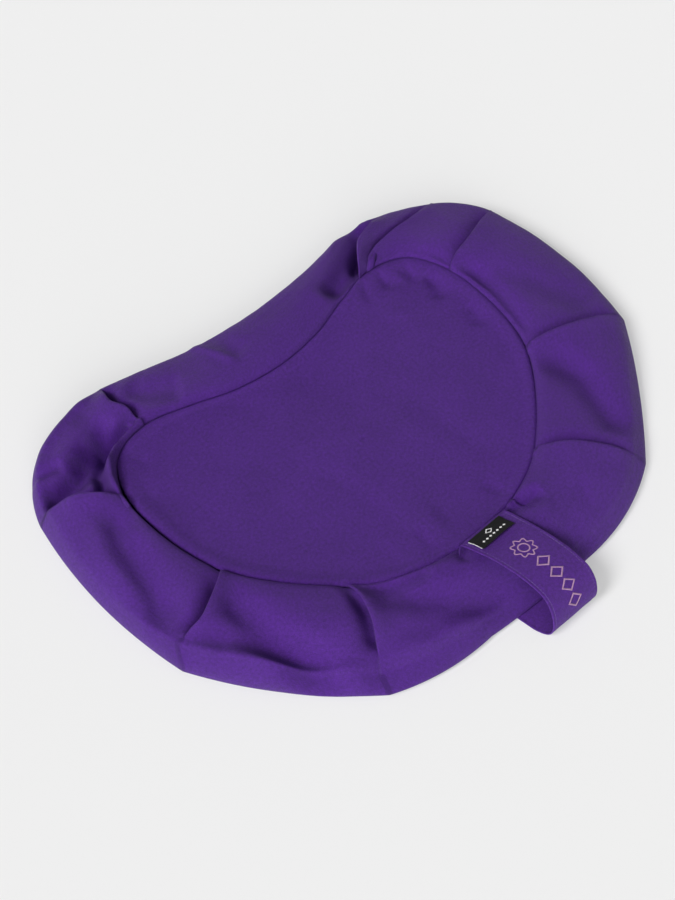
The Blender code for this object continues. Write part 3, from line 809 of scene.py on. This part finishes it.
def at_arcs(values, arc):
    """Pairs that are known along the strap's middle, at those distances."""
    return np.stack([np.interp(arc, STRAP_ARC, values[:, k]) for k in (0, 1)], axis=-1)


def on_strap(side, arc, height):
    """Points on the strap: distance across it to +X, distance from the seam, height off its middle."""
    side, arc, height = np.broadcast_arrays(side, arc, height)
    place = at_arcs(STRAP_LINE, arc) + at_arcs(STRAP_NORMAL, arc) * height[..., None]
    rolled = -STRAP_ROLL * side * smoothstep(arc, 0.004, 0.035) * (1 - smoothstep(arc, 0.070, 0.110))
    swung = side - STRAP_SWING * smoothstep(arc, 0.075, 0.125)
    plan = STRAP_FOOT + swung[..., None] * STRAP_ACROSS + place[..., :1] * STRAP_OUT
    return np.concatenate([plan + CENTRE, (place[..., 1] + rolled)[..., None]], axis=-1)


def strap_half_thickness(side):
    """Thickness across the strap: rounded edges, and a groove where each row of stitches pulls it in."""
    edge = np.clip((np.abs(side) - (STRAP_WIDTH / 2 - STRAP_EDGE_ROUND)) / STRAP_EDGE_ROUND, 0, 1)
    groove = 0.00016 * np.exp(-(((np.abs(side) - (STRAP_WIDTH / 2 - STRAP_STITCH_INSET)) / 0.0007) ** 2))
    puff = 0.00010 * np.cos(math.pi * side / STRAP_WIDTH)
    return (STRAP_HALF_THICK + puff - groove) * np.sqrt(1 - 0.94 * edge**2)


# The strap's points across, as distances in from an edge: close together by the stitches
STRAP_EDGE_INSETS = mm((0, 0.12, 0.4, 0.8, 1.3, 1.8, 2.2, 2.6, 3.0, 3.4, 3.9))
STRAP_MIDDLE_INSET = 0.0045


def build_strap():
    """The strap as one closed ribbon, folded from a wider piece of the same twill."""
    half = STRAP_WIDTH / 2
    inner = np.linspace(-half + STRAP_MIDDLE_INSET, half - STRAP_MIDDLE_INSET, 22)
    edge = half - STRAP_EDGE_INSETS
    across = np.concatenate([-edge, inner, edge[::-1]])
    thick = strap_half_thickness(across)
    side = np.concatenate([across, across[::-1]])
    height = np.concatenate([thick, -thick[::-1]])
    grid_side, grid_arc = np.meshgrid(side, STRAP_ARC, indexing="ij")
    flat = pairs(grid_side, grid_arc)
    uneven = rippled(np.zeros(len(flat)), flat, STRAP_RIPPLES).reshape(grid_side.shape)
    points = on_strap(grid_side, grid_arc, height[:, None] + uneven).reshape(-1, 3)
    rows = len(STRAP_ARC)
    faces = [face[::-1] for face in grid_faces(len(side), rows, closed=True)]
    first_end = range(0, len(side) * rows, rows)
    faces.append(tuple(first_end))
    faces.append(tuple(i + rows - 1 for i in reversed(first_end)))
    obj = new_mesh_object("strap", points, faces)
    set_grain(obj, flat + array((0.013, 0.0)))
    return obj


def build_strap_stitches(name, side):
    def place(distances, heights):
        surface = strap_half_thickness(array((side,)))[0]
        return on_strap(side, distances, surface + heights)

    return thread_object(name, stitch_strands(place, 0.0030, STRAP_ARC[-1] - 0.0625, 0.0027))


# Embroidery
SATIN_RADIUS = 0.00017
SATIN_SHAPE = np.linspace(0, 1, 6)
SATIN_SPACING = 0.00028


def satin_ring(outer, inner, spacing=SATIN_SPACING):
    """Side-by-side threads laid from an inner closed line to an outer one. Returns their plan points."""
    outer, inner = (np.vstack([line, line[:1]]) for line in (outer, inner))
    count = int(lengths_along(outer)[-1] / spacing)
    shares = np.arange(count) / count
    ends = zip(at_shares(inner, shares), at_shares(outer, shares))
    return [start + (end - start) * SATIN_SHAPE[:, None] for start, end in ends]


def round_line(reach, steps=240):
    """A line round a middle point. reach(turns) is its distance from there."""
    turns = 2 * math.pi * np.arange(steps) / steps
    return np.stack([reach(turns) * np.cos(turns), reach(turns) * np.sin(turns)], axis=1)


def petals(radius, depth=0.0):
    return lambda turns: radius - depth * (1 - np.cos(8 * turns)) / 2


def lozenge_line(half_width, half_length, steps=60):
    ends = array([(half_width, 0), (0, half_length)])
    return at_shares(np.vstack([ends, -ends, ends[:1]]), np.arange(steps) / steps)


def rosette_threads():
    flower = satin_ring(round_line(petals(0.0098, 0.0024)), round_line(petals(0.0087, 0.0024)))
    return flower + satin_ring(round_line(petals(0.0046)), round_line(petals(0.0036)))


def lozenge_threads():
    return satin_ring(lozenge_line(0.0070, 0.0054), lozenge_line(0.0054, 0.0040))


def build_embroidery(name, arc, threads):
    """Satin stitch on the strap's outer face, round a point of its middle line."""
    rise = 0.00032 * np.sin(math.pi * SATIN_SHAPE) ** 0.6
    strands = []
    for line in threads:
        surface = strap_half_thickness(line[:, 0]) + rise
        strands.append((on_strap(line[:, 0], arc + line[:, 1], surface), SATIN_RADIUS))
    return thread_object(name, strands, sides=5)


# The label: a woven ribbon folded in half, its cut ends in the seam
LABEL_HALF_LENGTH = 0.0165
LABEL_DEPTH = 0.0150
LABEL_ORIGIN = (-0.0025, 0.0032, 0.0318)
LABEL_TURN = math.radians(1.5)
LABEL_SLOPE = math.radians(17.0)
LABEL_LAYER = 0.00030
LABEL_FOLD_RADIUS = 0.00030


def on_label(x, y, z):
    """Points on the label: distance along it to -X, distance out from its fold line, height off it."""
    x, y, z = np.broadcast_arrays(x, y, z)
    depth = y / LABEL_DEPTH
    wavy = 0.0007 * smoothstep(depth, 0.3, 1.0) * np.cos(x / 0.0105 + 0.6)
    curl = wavy + 0.0009 * (x / LABEL_HALF_LENGTH) ** 3
    z = z + curl * smoothstep(depth, 0.0, 0.5)
    side, out, height = LABEL_ORIGIN
    out = out + y * math.cos(LABEL_SLOPE) - z * math.sin(LABEL_SLOPE)
    height = height + y * math.sin(LABEL_SLOPE) + z * math.cos(LABEL_SLOPE)
    across = array((math.cos(SEAM_LEAN + LABEL_TURN), math.sin(SEAM_LEAN + LABEL_TURN)))
    plan = STRAP_FOOT + side * STRAP_ACROSS - x[..., None] * across + out[..., None] * STRAP_OUT
    return np.concatenate([plan + CENTRE, height[..., None]], axis=-1)


def build_label():
    """The folded ribbon: its lower layer out to the tip, the fold, and its upper layer back."""
    turn = np.linspace(-math.pi / 2, math.pi / 2, 12)
    low = LABEL_FOLD_RADIUS + LABEL_LAYER / 2
    tip = LABEL_DEPTH - LABEL_FOLD_RADIUS - LABEL_LAYER / 2
    lower = np.linspace(0.0002, tip, 18)[:-1]
    upper = np.linspace(tip, 0.0002, 18)[1:]
    y = np.concatenate([lower, tip + LABEL_FOLD_RADIUS * np.cos(turn), upper])
    z_lower = np.full(len(lower), low - LABEL_FOLD_RADIUS)
    z_upper = np.full(len(upper), low + LABEL_FOLD_RADIUS)
    z = np.concatenate([z_lower, low + LABEL_FOLD_RADIUS * np.sin(turn), z_upper])
    x = np.linspace(-LABEL_HALF_LENGTH, LABEL_HALF_LENGTH, 60)
    grid_x, grid_y = np.meshgrid(x, y, indexing="ij")
    grid_z = np.broadcast_to(z, grid_y.shape)
    points = on_label(grid_x, grid_y, grid_z).reshape(-1, 3)
    grain = pairs(grid_x, grid_y * np.sign(grid_z - low + 1e-9))
    return cloth_object("label_ribbon", points, grid_faces(len(x), len(y)), grain, LABEL_LAYER)


def label_top(x, y):
    return on_label(x, y, LABEL_FOLD_RADIUS * 2 + LABEL_LAYER * 1.5)


def build_label_motif():
    """A generic woven pattern: a lozenge over a row of small ones."""
    strands = []
    lines = [(0.0, 0.0052, 0.0034, 0.0027, 0.0009)]
    lines += [(0.0036 * k, 0.0104, 0.0012, 0.0011, 0.0010) for k in range(-3, 4)]
    for x, y, half_width, half_length, thick in lines:
        inner = lozenge_line(max(half_width - thick, 0.0001), max(half_length - thick, 0.0001))
        for line in satin_ring(lozenge_line(half_width, half_length), inner, 0.00022):
            strands.append((label_top(x + line[:, 0], y + line[:, 1]), 0.00010))
    return thread_object("label_pattern", strands, sides=5)


def build_label_ends():
    """Short ends of the ribbon's white warp, showing at its cut side."""
    strands = []
    for k in range(44):
        y = 0.0010 + 0.00030 * k
        reach = 0.00055 + 0.00025 * math.sin(2.3 * k)
        x = LABEL_HALF_LENGTH + array((-0.0004, 0.0, 0.5, 1.0)) * array((1, 0, reach, reach))
        strands.append((on_label(x, y, 0.00012), 0.00013))
    return thread_object("label_cut_ends", strands, sides=5)


# The zip
def on_zip(angle, z, inwards):
    """Points on the zip: angle along it, height, and distance in from its arc."""
    angle, z, inwards = np.broadcast_arrays(angle, z, inwards)
    plan = zip_arc(angle, inwards[..., None])
    return np.concatenate([plan + CENTRE, z[..., None]], axis=-1)


def build_zip_coil(name, z_slit, z_tape):
    """One side of the coil: a loop of nylon at each turn, from the tape round the slit and back."""
    turns = int(2 * COIL_END * ZIP_RADIUS / COIL_PITCH)
    depth = array((0.00080, 0.00045, 0.00022, 0.00022, 0.00040, 0.00080))
    share = array((1.0, 0.96, 0.75, 0.28, 0.06, 0.02))
    radii = COIL_WIRE * array((0.8, 1.0, 1.0, 1.15, 1.1, 0.8))
    heights = z_slit + (z_tape - z_slit) * share
    lean = np.linspace(-0.2, 0.2, len(share)) * COIL_PITCH / ZIP_RADIUS
    starts = [-COIL_END + (k + 0.5) * COIL_PITCH / ZIP_RADIUS for k in range(turns)]
    return thread_object(name, [(on_zip(start + lean, heights, depth), radii) for start in starts])


def build_zip_tape(name, z_low, z_high):
    angles = np.linspace(-TAPE_END, TAPE_END, 160)
    rows = np.linspace(z_low, z_high, 14)
    grid_angle, grid_z = np.meshgrid(angles, rows, indexing="ij")
    points = on_zip(grid_angle, grid_z, 0.0016).reshape(-1, 3)
    grain = pairs(grid_angle * ZIP_RADIUS, grid_z)
    return cloth_object(name, points, grid_faces(len(angles), len(rows)), grain, 0.0005)


def build_zip_stitches(name, z):
    def place(distances, heights):
        return on_zip(distances / ZIP_RADIUS, z, -0.00008 - heights)

    reach = (ZIP_END - math.radians(0.2)) * ZIP_RADIUS
    return thread_object(name, stitch_strands(place, -reach, reach, 0.0028))


def build_end_tab(name, side):
    """The short piece of twill behind the two panels that closes the wall beyond an end of the zip."""
    edge = hollow_side_edge()
    edge = edge[zip_angle(edge) * side > ZIP_END - math.radians(0.5)]
    path = at_shares(edge + 0.0013 * unit(edge - ZIP_CENTRE), np.linspace(0, 1, 24))
    levels = np.linspace(0.0022, 0.0172, 12)
    heights = np.tile(levels, len(path))
    points = to_frame(np.repeat(path, len(levels), axis=0), heights)
    grain = pairs(np.repeat(lengths_along(path), len(levels)), heights)
    return cloth_object(name, points, grid_faces(len(path), len(levels)), grain, TWILL)


def rounded_copy(name, node, width):
    """A copy of a CAD node with its edges rounded."""
    obj = add_object(name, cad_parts[node].data.copy())
    obj.data.materials.clear()
    add_modifier(obj, "WELD", merge_threshold=0.00001)
    sharp = math.radians(35)
    add_modifier(obj, "BEVEL", width=width, segments=3, limit_method="ANGLE", angle_limit=sharp)
    apply_modifiers(obj)
    obj.data.shade_smooth()
    return obj


# Materials
class Finish:
    """A slot and its principled material, with sums of noise and waves for its colour, gloss and bump.

    A value is a number or a socket, and a term is a value and its weight.
    """

    def __init__(self, slot, name, colour, roughness, **sockets):
        self.slot, self.colour = slot, colour
        self.material = bpy.data.materials.new(name)
        self.material.use_nodes = True
        self.tree = self.material.node_tree
        self.sockets = self.tree.nodes["Principled BSDF"].inputs
        sockets.update(Base_Color=(*colour, 1), Roughness=roughness)
        for socket, value in sockets.items():
            self.sockets[socket.replace("_", " ")].default_value = value

    def node(self, kind, output, *values, **settings):
        """A new node's output. The values go to its first inputs, in order."""
        made = self.tree.nodes.new("ShaderNode" + kind)
        set_all(made, **settings)
        for socket, value in zip(made.inputs, values):
            self.plug(socket, value)
        return made.outputs[output]

    def plug(self, socket, value):
        if isinstance(value, bpy.types.NodeSocket):
            self.tree.links.new(value, socket)
        else:
            socket.default_value = value

    def calculate(self, operation, a, b=0.0):
        return self.node("Math", 0, a, b, operation=operation)

    def total(self, *terms):
        total = 0.0
        for value, weight in terms:
            total = self.calculate("ADD", total, self.calculate("MULTIPLY", value, weight))
        return total

    def follow_object(self):
        """Noise then follows the object, in metres."""
        self.place = self.node("TexCoord", "Object")

    def follow_grain(self):
        """Noise then follows the flat cloth, in metres. Returns the two coordinates on it."""
        self.place = self.node("Attribute", "Vector", attribute_name="grain")
        split = self.node("SeparateXYZ", 0, self.place).node
        return split.outputs[0], split.outputs[1]

    def noise(self, scale, detail=2.0):
        """Smooth noise from -0.5 to 0.5. The scale is how many lumps there are in a metre."""
        made = self.node("TexNoise", "Fac", self.place).node
        made.inputs["Scale"].default_value = scale
        made.inputs["Detail"].default_value = detail
        return self.calculate("SUBTRACT", made.outputs["Fac"], 0.5)

    def wave(self, phase, pitch):
        """A sine from -1 to 1 that repeats at each pitch of the phase."""
        return self.calculate("SINE", self.calculate("MULTIPLY", phase, 2 * math.pi / pitch))

    def shade(self, *terms):
        """Sets the colour, times one plus the sum."""
        made = self.node("VectorMath", 0, self.colour, operation="SCALE").node
        self.plug(made.inputs["Scale"], self.calculate("ADD", self.total(*terms), 1.0))
        self.tree.links.new(made.outputs[0], self.sockets["Base Color"])

    def bump(self, strength, distance, *terms):
        """Raises the surface by the sum, times the distance in metres."""
        made = self.node("Bump", "Normal").node
        made.inputs["Strength"].default_value = strength
        made.inputs["Distance"].default_value = distance
        self.plug(made.inputs["Height"], self.total(*terms))
        self.tree.links.new(made.outputs["Normal"], self.sockets["Normal"])


def twill_finish(name, colour, pitch):
    """Brushed cotton twill: slanting ribs, the yarns across them, lint, and uneven dye."""
    made = Finish(
        "cotton", name, colour, 0.60, Sheen_Weight=0.05, Sheen_Roughness=0.50,
        Sheen_Tint=(0.86, 0.70, 1.0, 1.0), Specular_IOR_Level=0.30,
    )
    x, y = made.follow_grain()
    slant = made.total((x, 1.0), (y, 1.0), (made.noise(160.0), pitch * 2.2))
    ribs = made.wave(slant, pitch * math.sqrt(2))
    yarns = made.wave(made.calculate("SUBTRACT", x, y), pitch * math.sqrt(2) / 2)
    lint = made.noise(1500.0)
    flecks = made.noise(420.0)
    dye = made.noise(26.0, 4.0)
    made.shade((ribs, 0.10), (yarns, 0.06), (lint, 1.35), (flecks, 0.95), (dye, 0.30))
    made.bump(0.9, 0.00025, (ribs, 0.35), (yarns, 0.2), (lint, 1.5))
    return made


def thread_finish(slot, name, colour, roughness=0.5, sheen=0.3):
    """Spun thread with a little shine, each length of it slightly lighter or darker."""
    made = Finish(slot, name, colour, roughness, Sheen_Weight=sheen, Sheen_Roughness=0.35)
    made.follow_object()
    made.shade((made.noise(900.0), 0.55), (made.noise(180.0), 0.40))
    made.bump(0.5, 0.00006, (made.noise(5000.0), 1.0))
    return made


def ribbon_finish(name, colour, rib, roughness):
    """Close-woven ribbon with fine ribs."""
    made = Finish(
        name, name, colour, roughness, Sheen_Weight=0.03, Sheen_Roughness=0.3, Specular_IOR_Level=0.25,
    )
    x, y = made.follow_grain()
    ribs = made.wave(y, rib)
    crossing = made.wave(x, rib * 1.6)
    lint = made.noise(1400.0)
    made.shade((ribs, 0.16), (crossing, 0.07), (lint, 0.5))
    made.bump(0.6, 0.00008, (ribs, 0.5), (crossing, 0.25), (lint, 0.4))
    return made


def hard_finish(slot, name, colour, roughness, metallic, coat):
    """Dyed nylon or painted zinc: slightly uneven gloss and colour, with rubbed edges."""
    made = Finish(slot, name, colour, roughness, Metallic=metallic, Coat_Weight=coat, Coat_Roughness=0.25)
    made.follow_object()
    patches = made.noise(320.0)
    pits = made.noise(2600.0)
    pointed = made.node("NewGeometry", "Pointiness")
    rubbed = made.calculate("MAXIMUM", made.calculate("SUBTRACT", pointed, 0.54), 0.0)
    made.shade((patches, 0.35), (pits, 0.12), (rubbed, 7.0))
    gloss = made.total((patches, 0.25), (pits, 0.1), (roughness, 1.0))
    made.plug(made.sockets["Roughness"], gloss)
    made.bump(0.25, 0.00003, (pits, 1.0))
    return made


def backdrop_material(name, grey, roughness, glow):
    glowing = dict(Emission_Color=(1, 1, 1, 1), Emission_Strength=glow)
    return Finish(name, name, (grey, grey, grey), roughness, Specular_IOR_Level=0.0, **glowing).material


# Camera, light and floor
CAMERA_TARGET = Vector((CENTRE[0] - 0.0140, CENTRE[1] - 0.0007, SEAM_Z + 0.002))
CAMERA_OFFSET = Vector((-0.5994, -0.6707, 1.2500))


def aim(obj, target):
    direction = Vector(target) - obj.location
    obj.rotation_euler = direction.to_track_quat("-Z", "Y").to_euler()


def make_camera():
    camera = bpy.data.cameras.new("camera")
    camera.lens = 80
    camera.shift_x = 0.0002
    camera.shift_y = -0.0160
    obj = add_object("camera", camera)
    obj.location = CAMERA_TARGET + CAMERA_OFFSET
    aim(obj, CAMERA_TARGET)
    bpy.context.scene.camera = obj


def add_sun(name, toward, height, strength, softness):
    """A far softbox: the light comes from that direction in plan and that many degrees up."""
    light = bpy.data.lights.new(name, "SUN")
    light.energy = strength
    light.angle = math.radians(softness)
    level = Vector(toward).normalized() * math.cos(math.radians(height))
    aim(add_object(name, light), -Vector((level.x, level.y, math.sin(math.radians(height)))))


def make_studio():
    """Soft daylight over a pale floor, with a pale wall all round it."""
    world = bpy.data.worlds.new("studio")
    world.use_nodes = True
    background = world.node_tree.nodes["Background"]
    background.inputs["Color"].default_value = (1, 1, 1, 1)
    background.inputs["Strength"].default_value = 0.21
    bpy.context.scene.world = world
    add_sun("key", (-0.98, 0.05), 44, 2.46, 24)
    add_sun("fill", (-0.62, -0.78), 26, 1.75, 45)
    bpy.ops.mesh.primitive_plane_add(size=12, location=(0, 0, 0))
    floor = bpy.context.object
    floor.name = "floor"
    floor.data.materials.append(backdrop_material("floor", 0.52, 0.95, 0.33))
    bpy.ops.mesh.primitive_cylinder_add(
        vertices=96, radius=5.9, depth=1.3, end_fill_type="NOTHING", location=(0, 0, 0.64)
    )
    sweep = bpy.context.object
    sweep.name = "sweep"
    sweep.visible_shadow = False
    sweep.data.materials.append(backdrop_material("sweep", 0.0, 1.0, 0.84))


# Putting pieces on the frame
def dress(obj, finish, body, *nodes):
    """Gives a finished piece its material and its body, and hides the CAD nodes that it stands for. Strap
    pieces get no body: their placing is baked into their mesh.
    """
    if obj.modifiers:
        apply_modifiers(obj)
    obj.data.materials.clear()
    obj.data.materials.append(finish.material)
    if body == "strap":
        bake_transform(obj)
    else:
        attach(obj, body)
    if nodes:
        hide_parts(*nodes)
    return obj


def make_cover():
    panel = build_panel("top_panel_cloth", PANEL_STROKES, SEAM_Z, -0.0018)
    bottom = build_panel("bottom_panel_cloth", [], 0.0008, 0.0, facing_up=False)
    band = build_band()
    upper, lower = build_zip_panels()
    for piece in (panel, bottom, band, upper, lower):
        dress(piece, COTTON, "root", piece.name.removesuffix("_cloth"))
    for side, sign in (("left", -1), ("right", 1)):
        tab = build_end_tab(f"end_tab_{side}", sign)
        dress(tab, COTTON, "root", f"zip_end_tab_{side}")


def make_inside():
    """What the cover hides: the two overlocked seams and the care label."""
    for side, z_low, z_high in (("top", 0.0167, 0.0247), ("bottom", 0.0013, 0.0093)):
        strip = build_seam_allowance(f"{side}_seam_allowance", z_low, z_high)
        thread = build_overlock_thread(f"{side}_overlock_thread", z_low, z_high)
        dress(strip, COTTON, "root")
        dress(thread, PURPLE_THREAD, "root", f"{side}_seam_overlock")
    label = dress(build_care_label(), WHITE_SATIN, "root", "care_label")


def make_strap():
    strap = build_strap()
    dress(strap, STRAP_COTTON_PAINTED_LIGHT, "strap", "handle_upper_run", "handle_loop", "handle_lower_run")
    inset = STRAP_WIDTH / 2 - STRAP_STITCH_INSET
    for name, side in (("left", -inset), ("right", inset)):
        stitches = build_strap_stitches(f"strap_stitches_{name}", side)
        nodes = (f"handle_stitching_upper_{name}", f"handle_stitching_loop_{name}")
        dress(stitches, STRAP_THREAD, "strap", *nodes)
    rosette = build_embroidery("satin_rosette", ROSETTE_ARC, rosette_threads())
    dress(rosette, ROSE_THREAD, "strap", "embroidery_rosette")
    for k, arc in enumerate(LOZENGE_ARCS, 1):
        lozenge = build_embroidery(f"satin_lozenge_{k}", arc, lozenge_threads())
        dress(lozenge, ROSE_THREAD, "strap", f"embroidery_lozenge_{k}")


def make_label():
    ribbon = dress(build_label(), BLACK_RIBBON, "label", "seam_label")
    motif = dress(build_label_motif(), WHITE_THREAD, "label", "label_motif")
    ends = dress(build_label_ends(), WHITE_THREAD, "label")


def make_zip():
    upper = (ZIP_Z + ZIP_SLIT, ZIP_Z + ZIP_SLIT + COIL_WIDTH)
    lower = (ZIP_Z - ZIP_SLIT, ZIP_Z - ZIP_SLIT - COIL_WIDTH)
    dress(build_zip_coil("coil_upper", *upper), NYLON, "root", "zip_coil_upper")
    dress(build_zip_coil("coil_lower", *lower), NYLON, "root", "zip_coil_lower")
    for name, low, high in (("upper", upper[0] + 0.0003, 0.0185), ("lower", 0.0014, lower[0] - 0.0003)):
        tape = dress(build_zip_tape(f"tape_{name}", low, high), TAPE, "root", f"zip_tape_{name}")
    for name, z in (("upper", OPENING_Z[1] + 0.0020), ("lower", OPENING_Z[0] - 0.0018)):
        stitches = build_zip_stitches(f"zip_stitches_{name}", z)
        dress(stitches, PURPLE_THREAD, "root", f"zip_stitching_{name}")
    for node in ("zip_top_stop_upper", "zip_top_stop_lower", "zip_bottom_stop"):
        dress(rounded_copy(f"{node}_rounded", node, 0.00030), ZINC, "root", node)
    dress(rounded_copy("slider_rounded", "zip_slider", 0.00028), ZINC, "slider", "zip_slider")
    dress(rounded_copy("pull_tab_rounded", "zip_pull_tab", 0.00025), ZINC, "pull_tab", "zip_pull_tab")


bpy.context.scene.view_settings.view_transform = "Standard"
make_camera()
make_studio()

COTTON = twill_finish("purple_twill", (0.0665, 0.0112, 0.207), 0.00062)
# The strap's twill is the cover's cloth painted about a tenth lighter: painted light on the raised strap
STRAP_COTTON_PAINTED_LIGHT = twill_finish("strap_twill_painted_light", (0.0740, 0.0120, 0.222), 0.00062)
TAPE = twill_finish("zip_tape_weave", (0.066, 0.024, 0.170), 0.00070)
ROSE_THREAD = thread_finish("rose_thread", "rose_thread", (0.36, 0.20, 0.35), 0.45, 0.35)
STRAP_THREAD = thread_finish("purple_thread", "strap_thread", (0.100, 0.040, 0.235))
PURPLE_THREAD = thread_finish("purple_thread", "purple_thread", (0.085, 0.034, 0.210))
WHITE_THREAD = thread_finish("white_thread", "white_thread", (0.80, 0.80, 0.80))
BLACK_RIBBON = ribbon_finish("black_ribbon", (0.0075, 0.0075, 0.0080), 0.00042, 0.6)
WHITE_SATIN = ribbon_finish("white_satin", (0.80, 0.80, 0.78), 0.00050, 0.35)
NYLON = hard_finish("nylon_coil", "dyed_nylon", (0.060, 0.022, 0.150), 0.38, 0.0, 0.1)
ZINC = hard_finish("painted_zinc", "painted_zinc", (0.070, 0.028, 0.175), 0.32, 0.6, 0.4)
make_cover()
make_strap()
make_label()
make_zip()
make_inside()
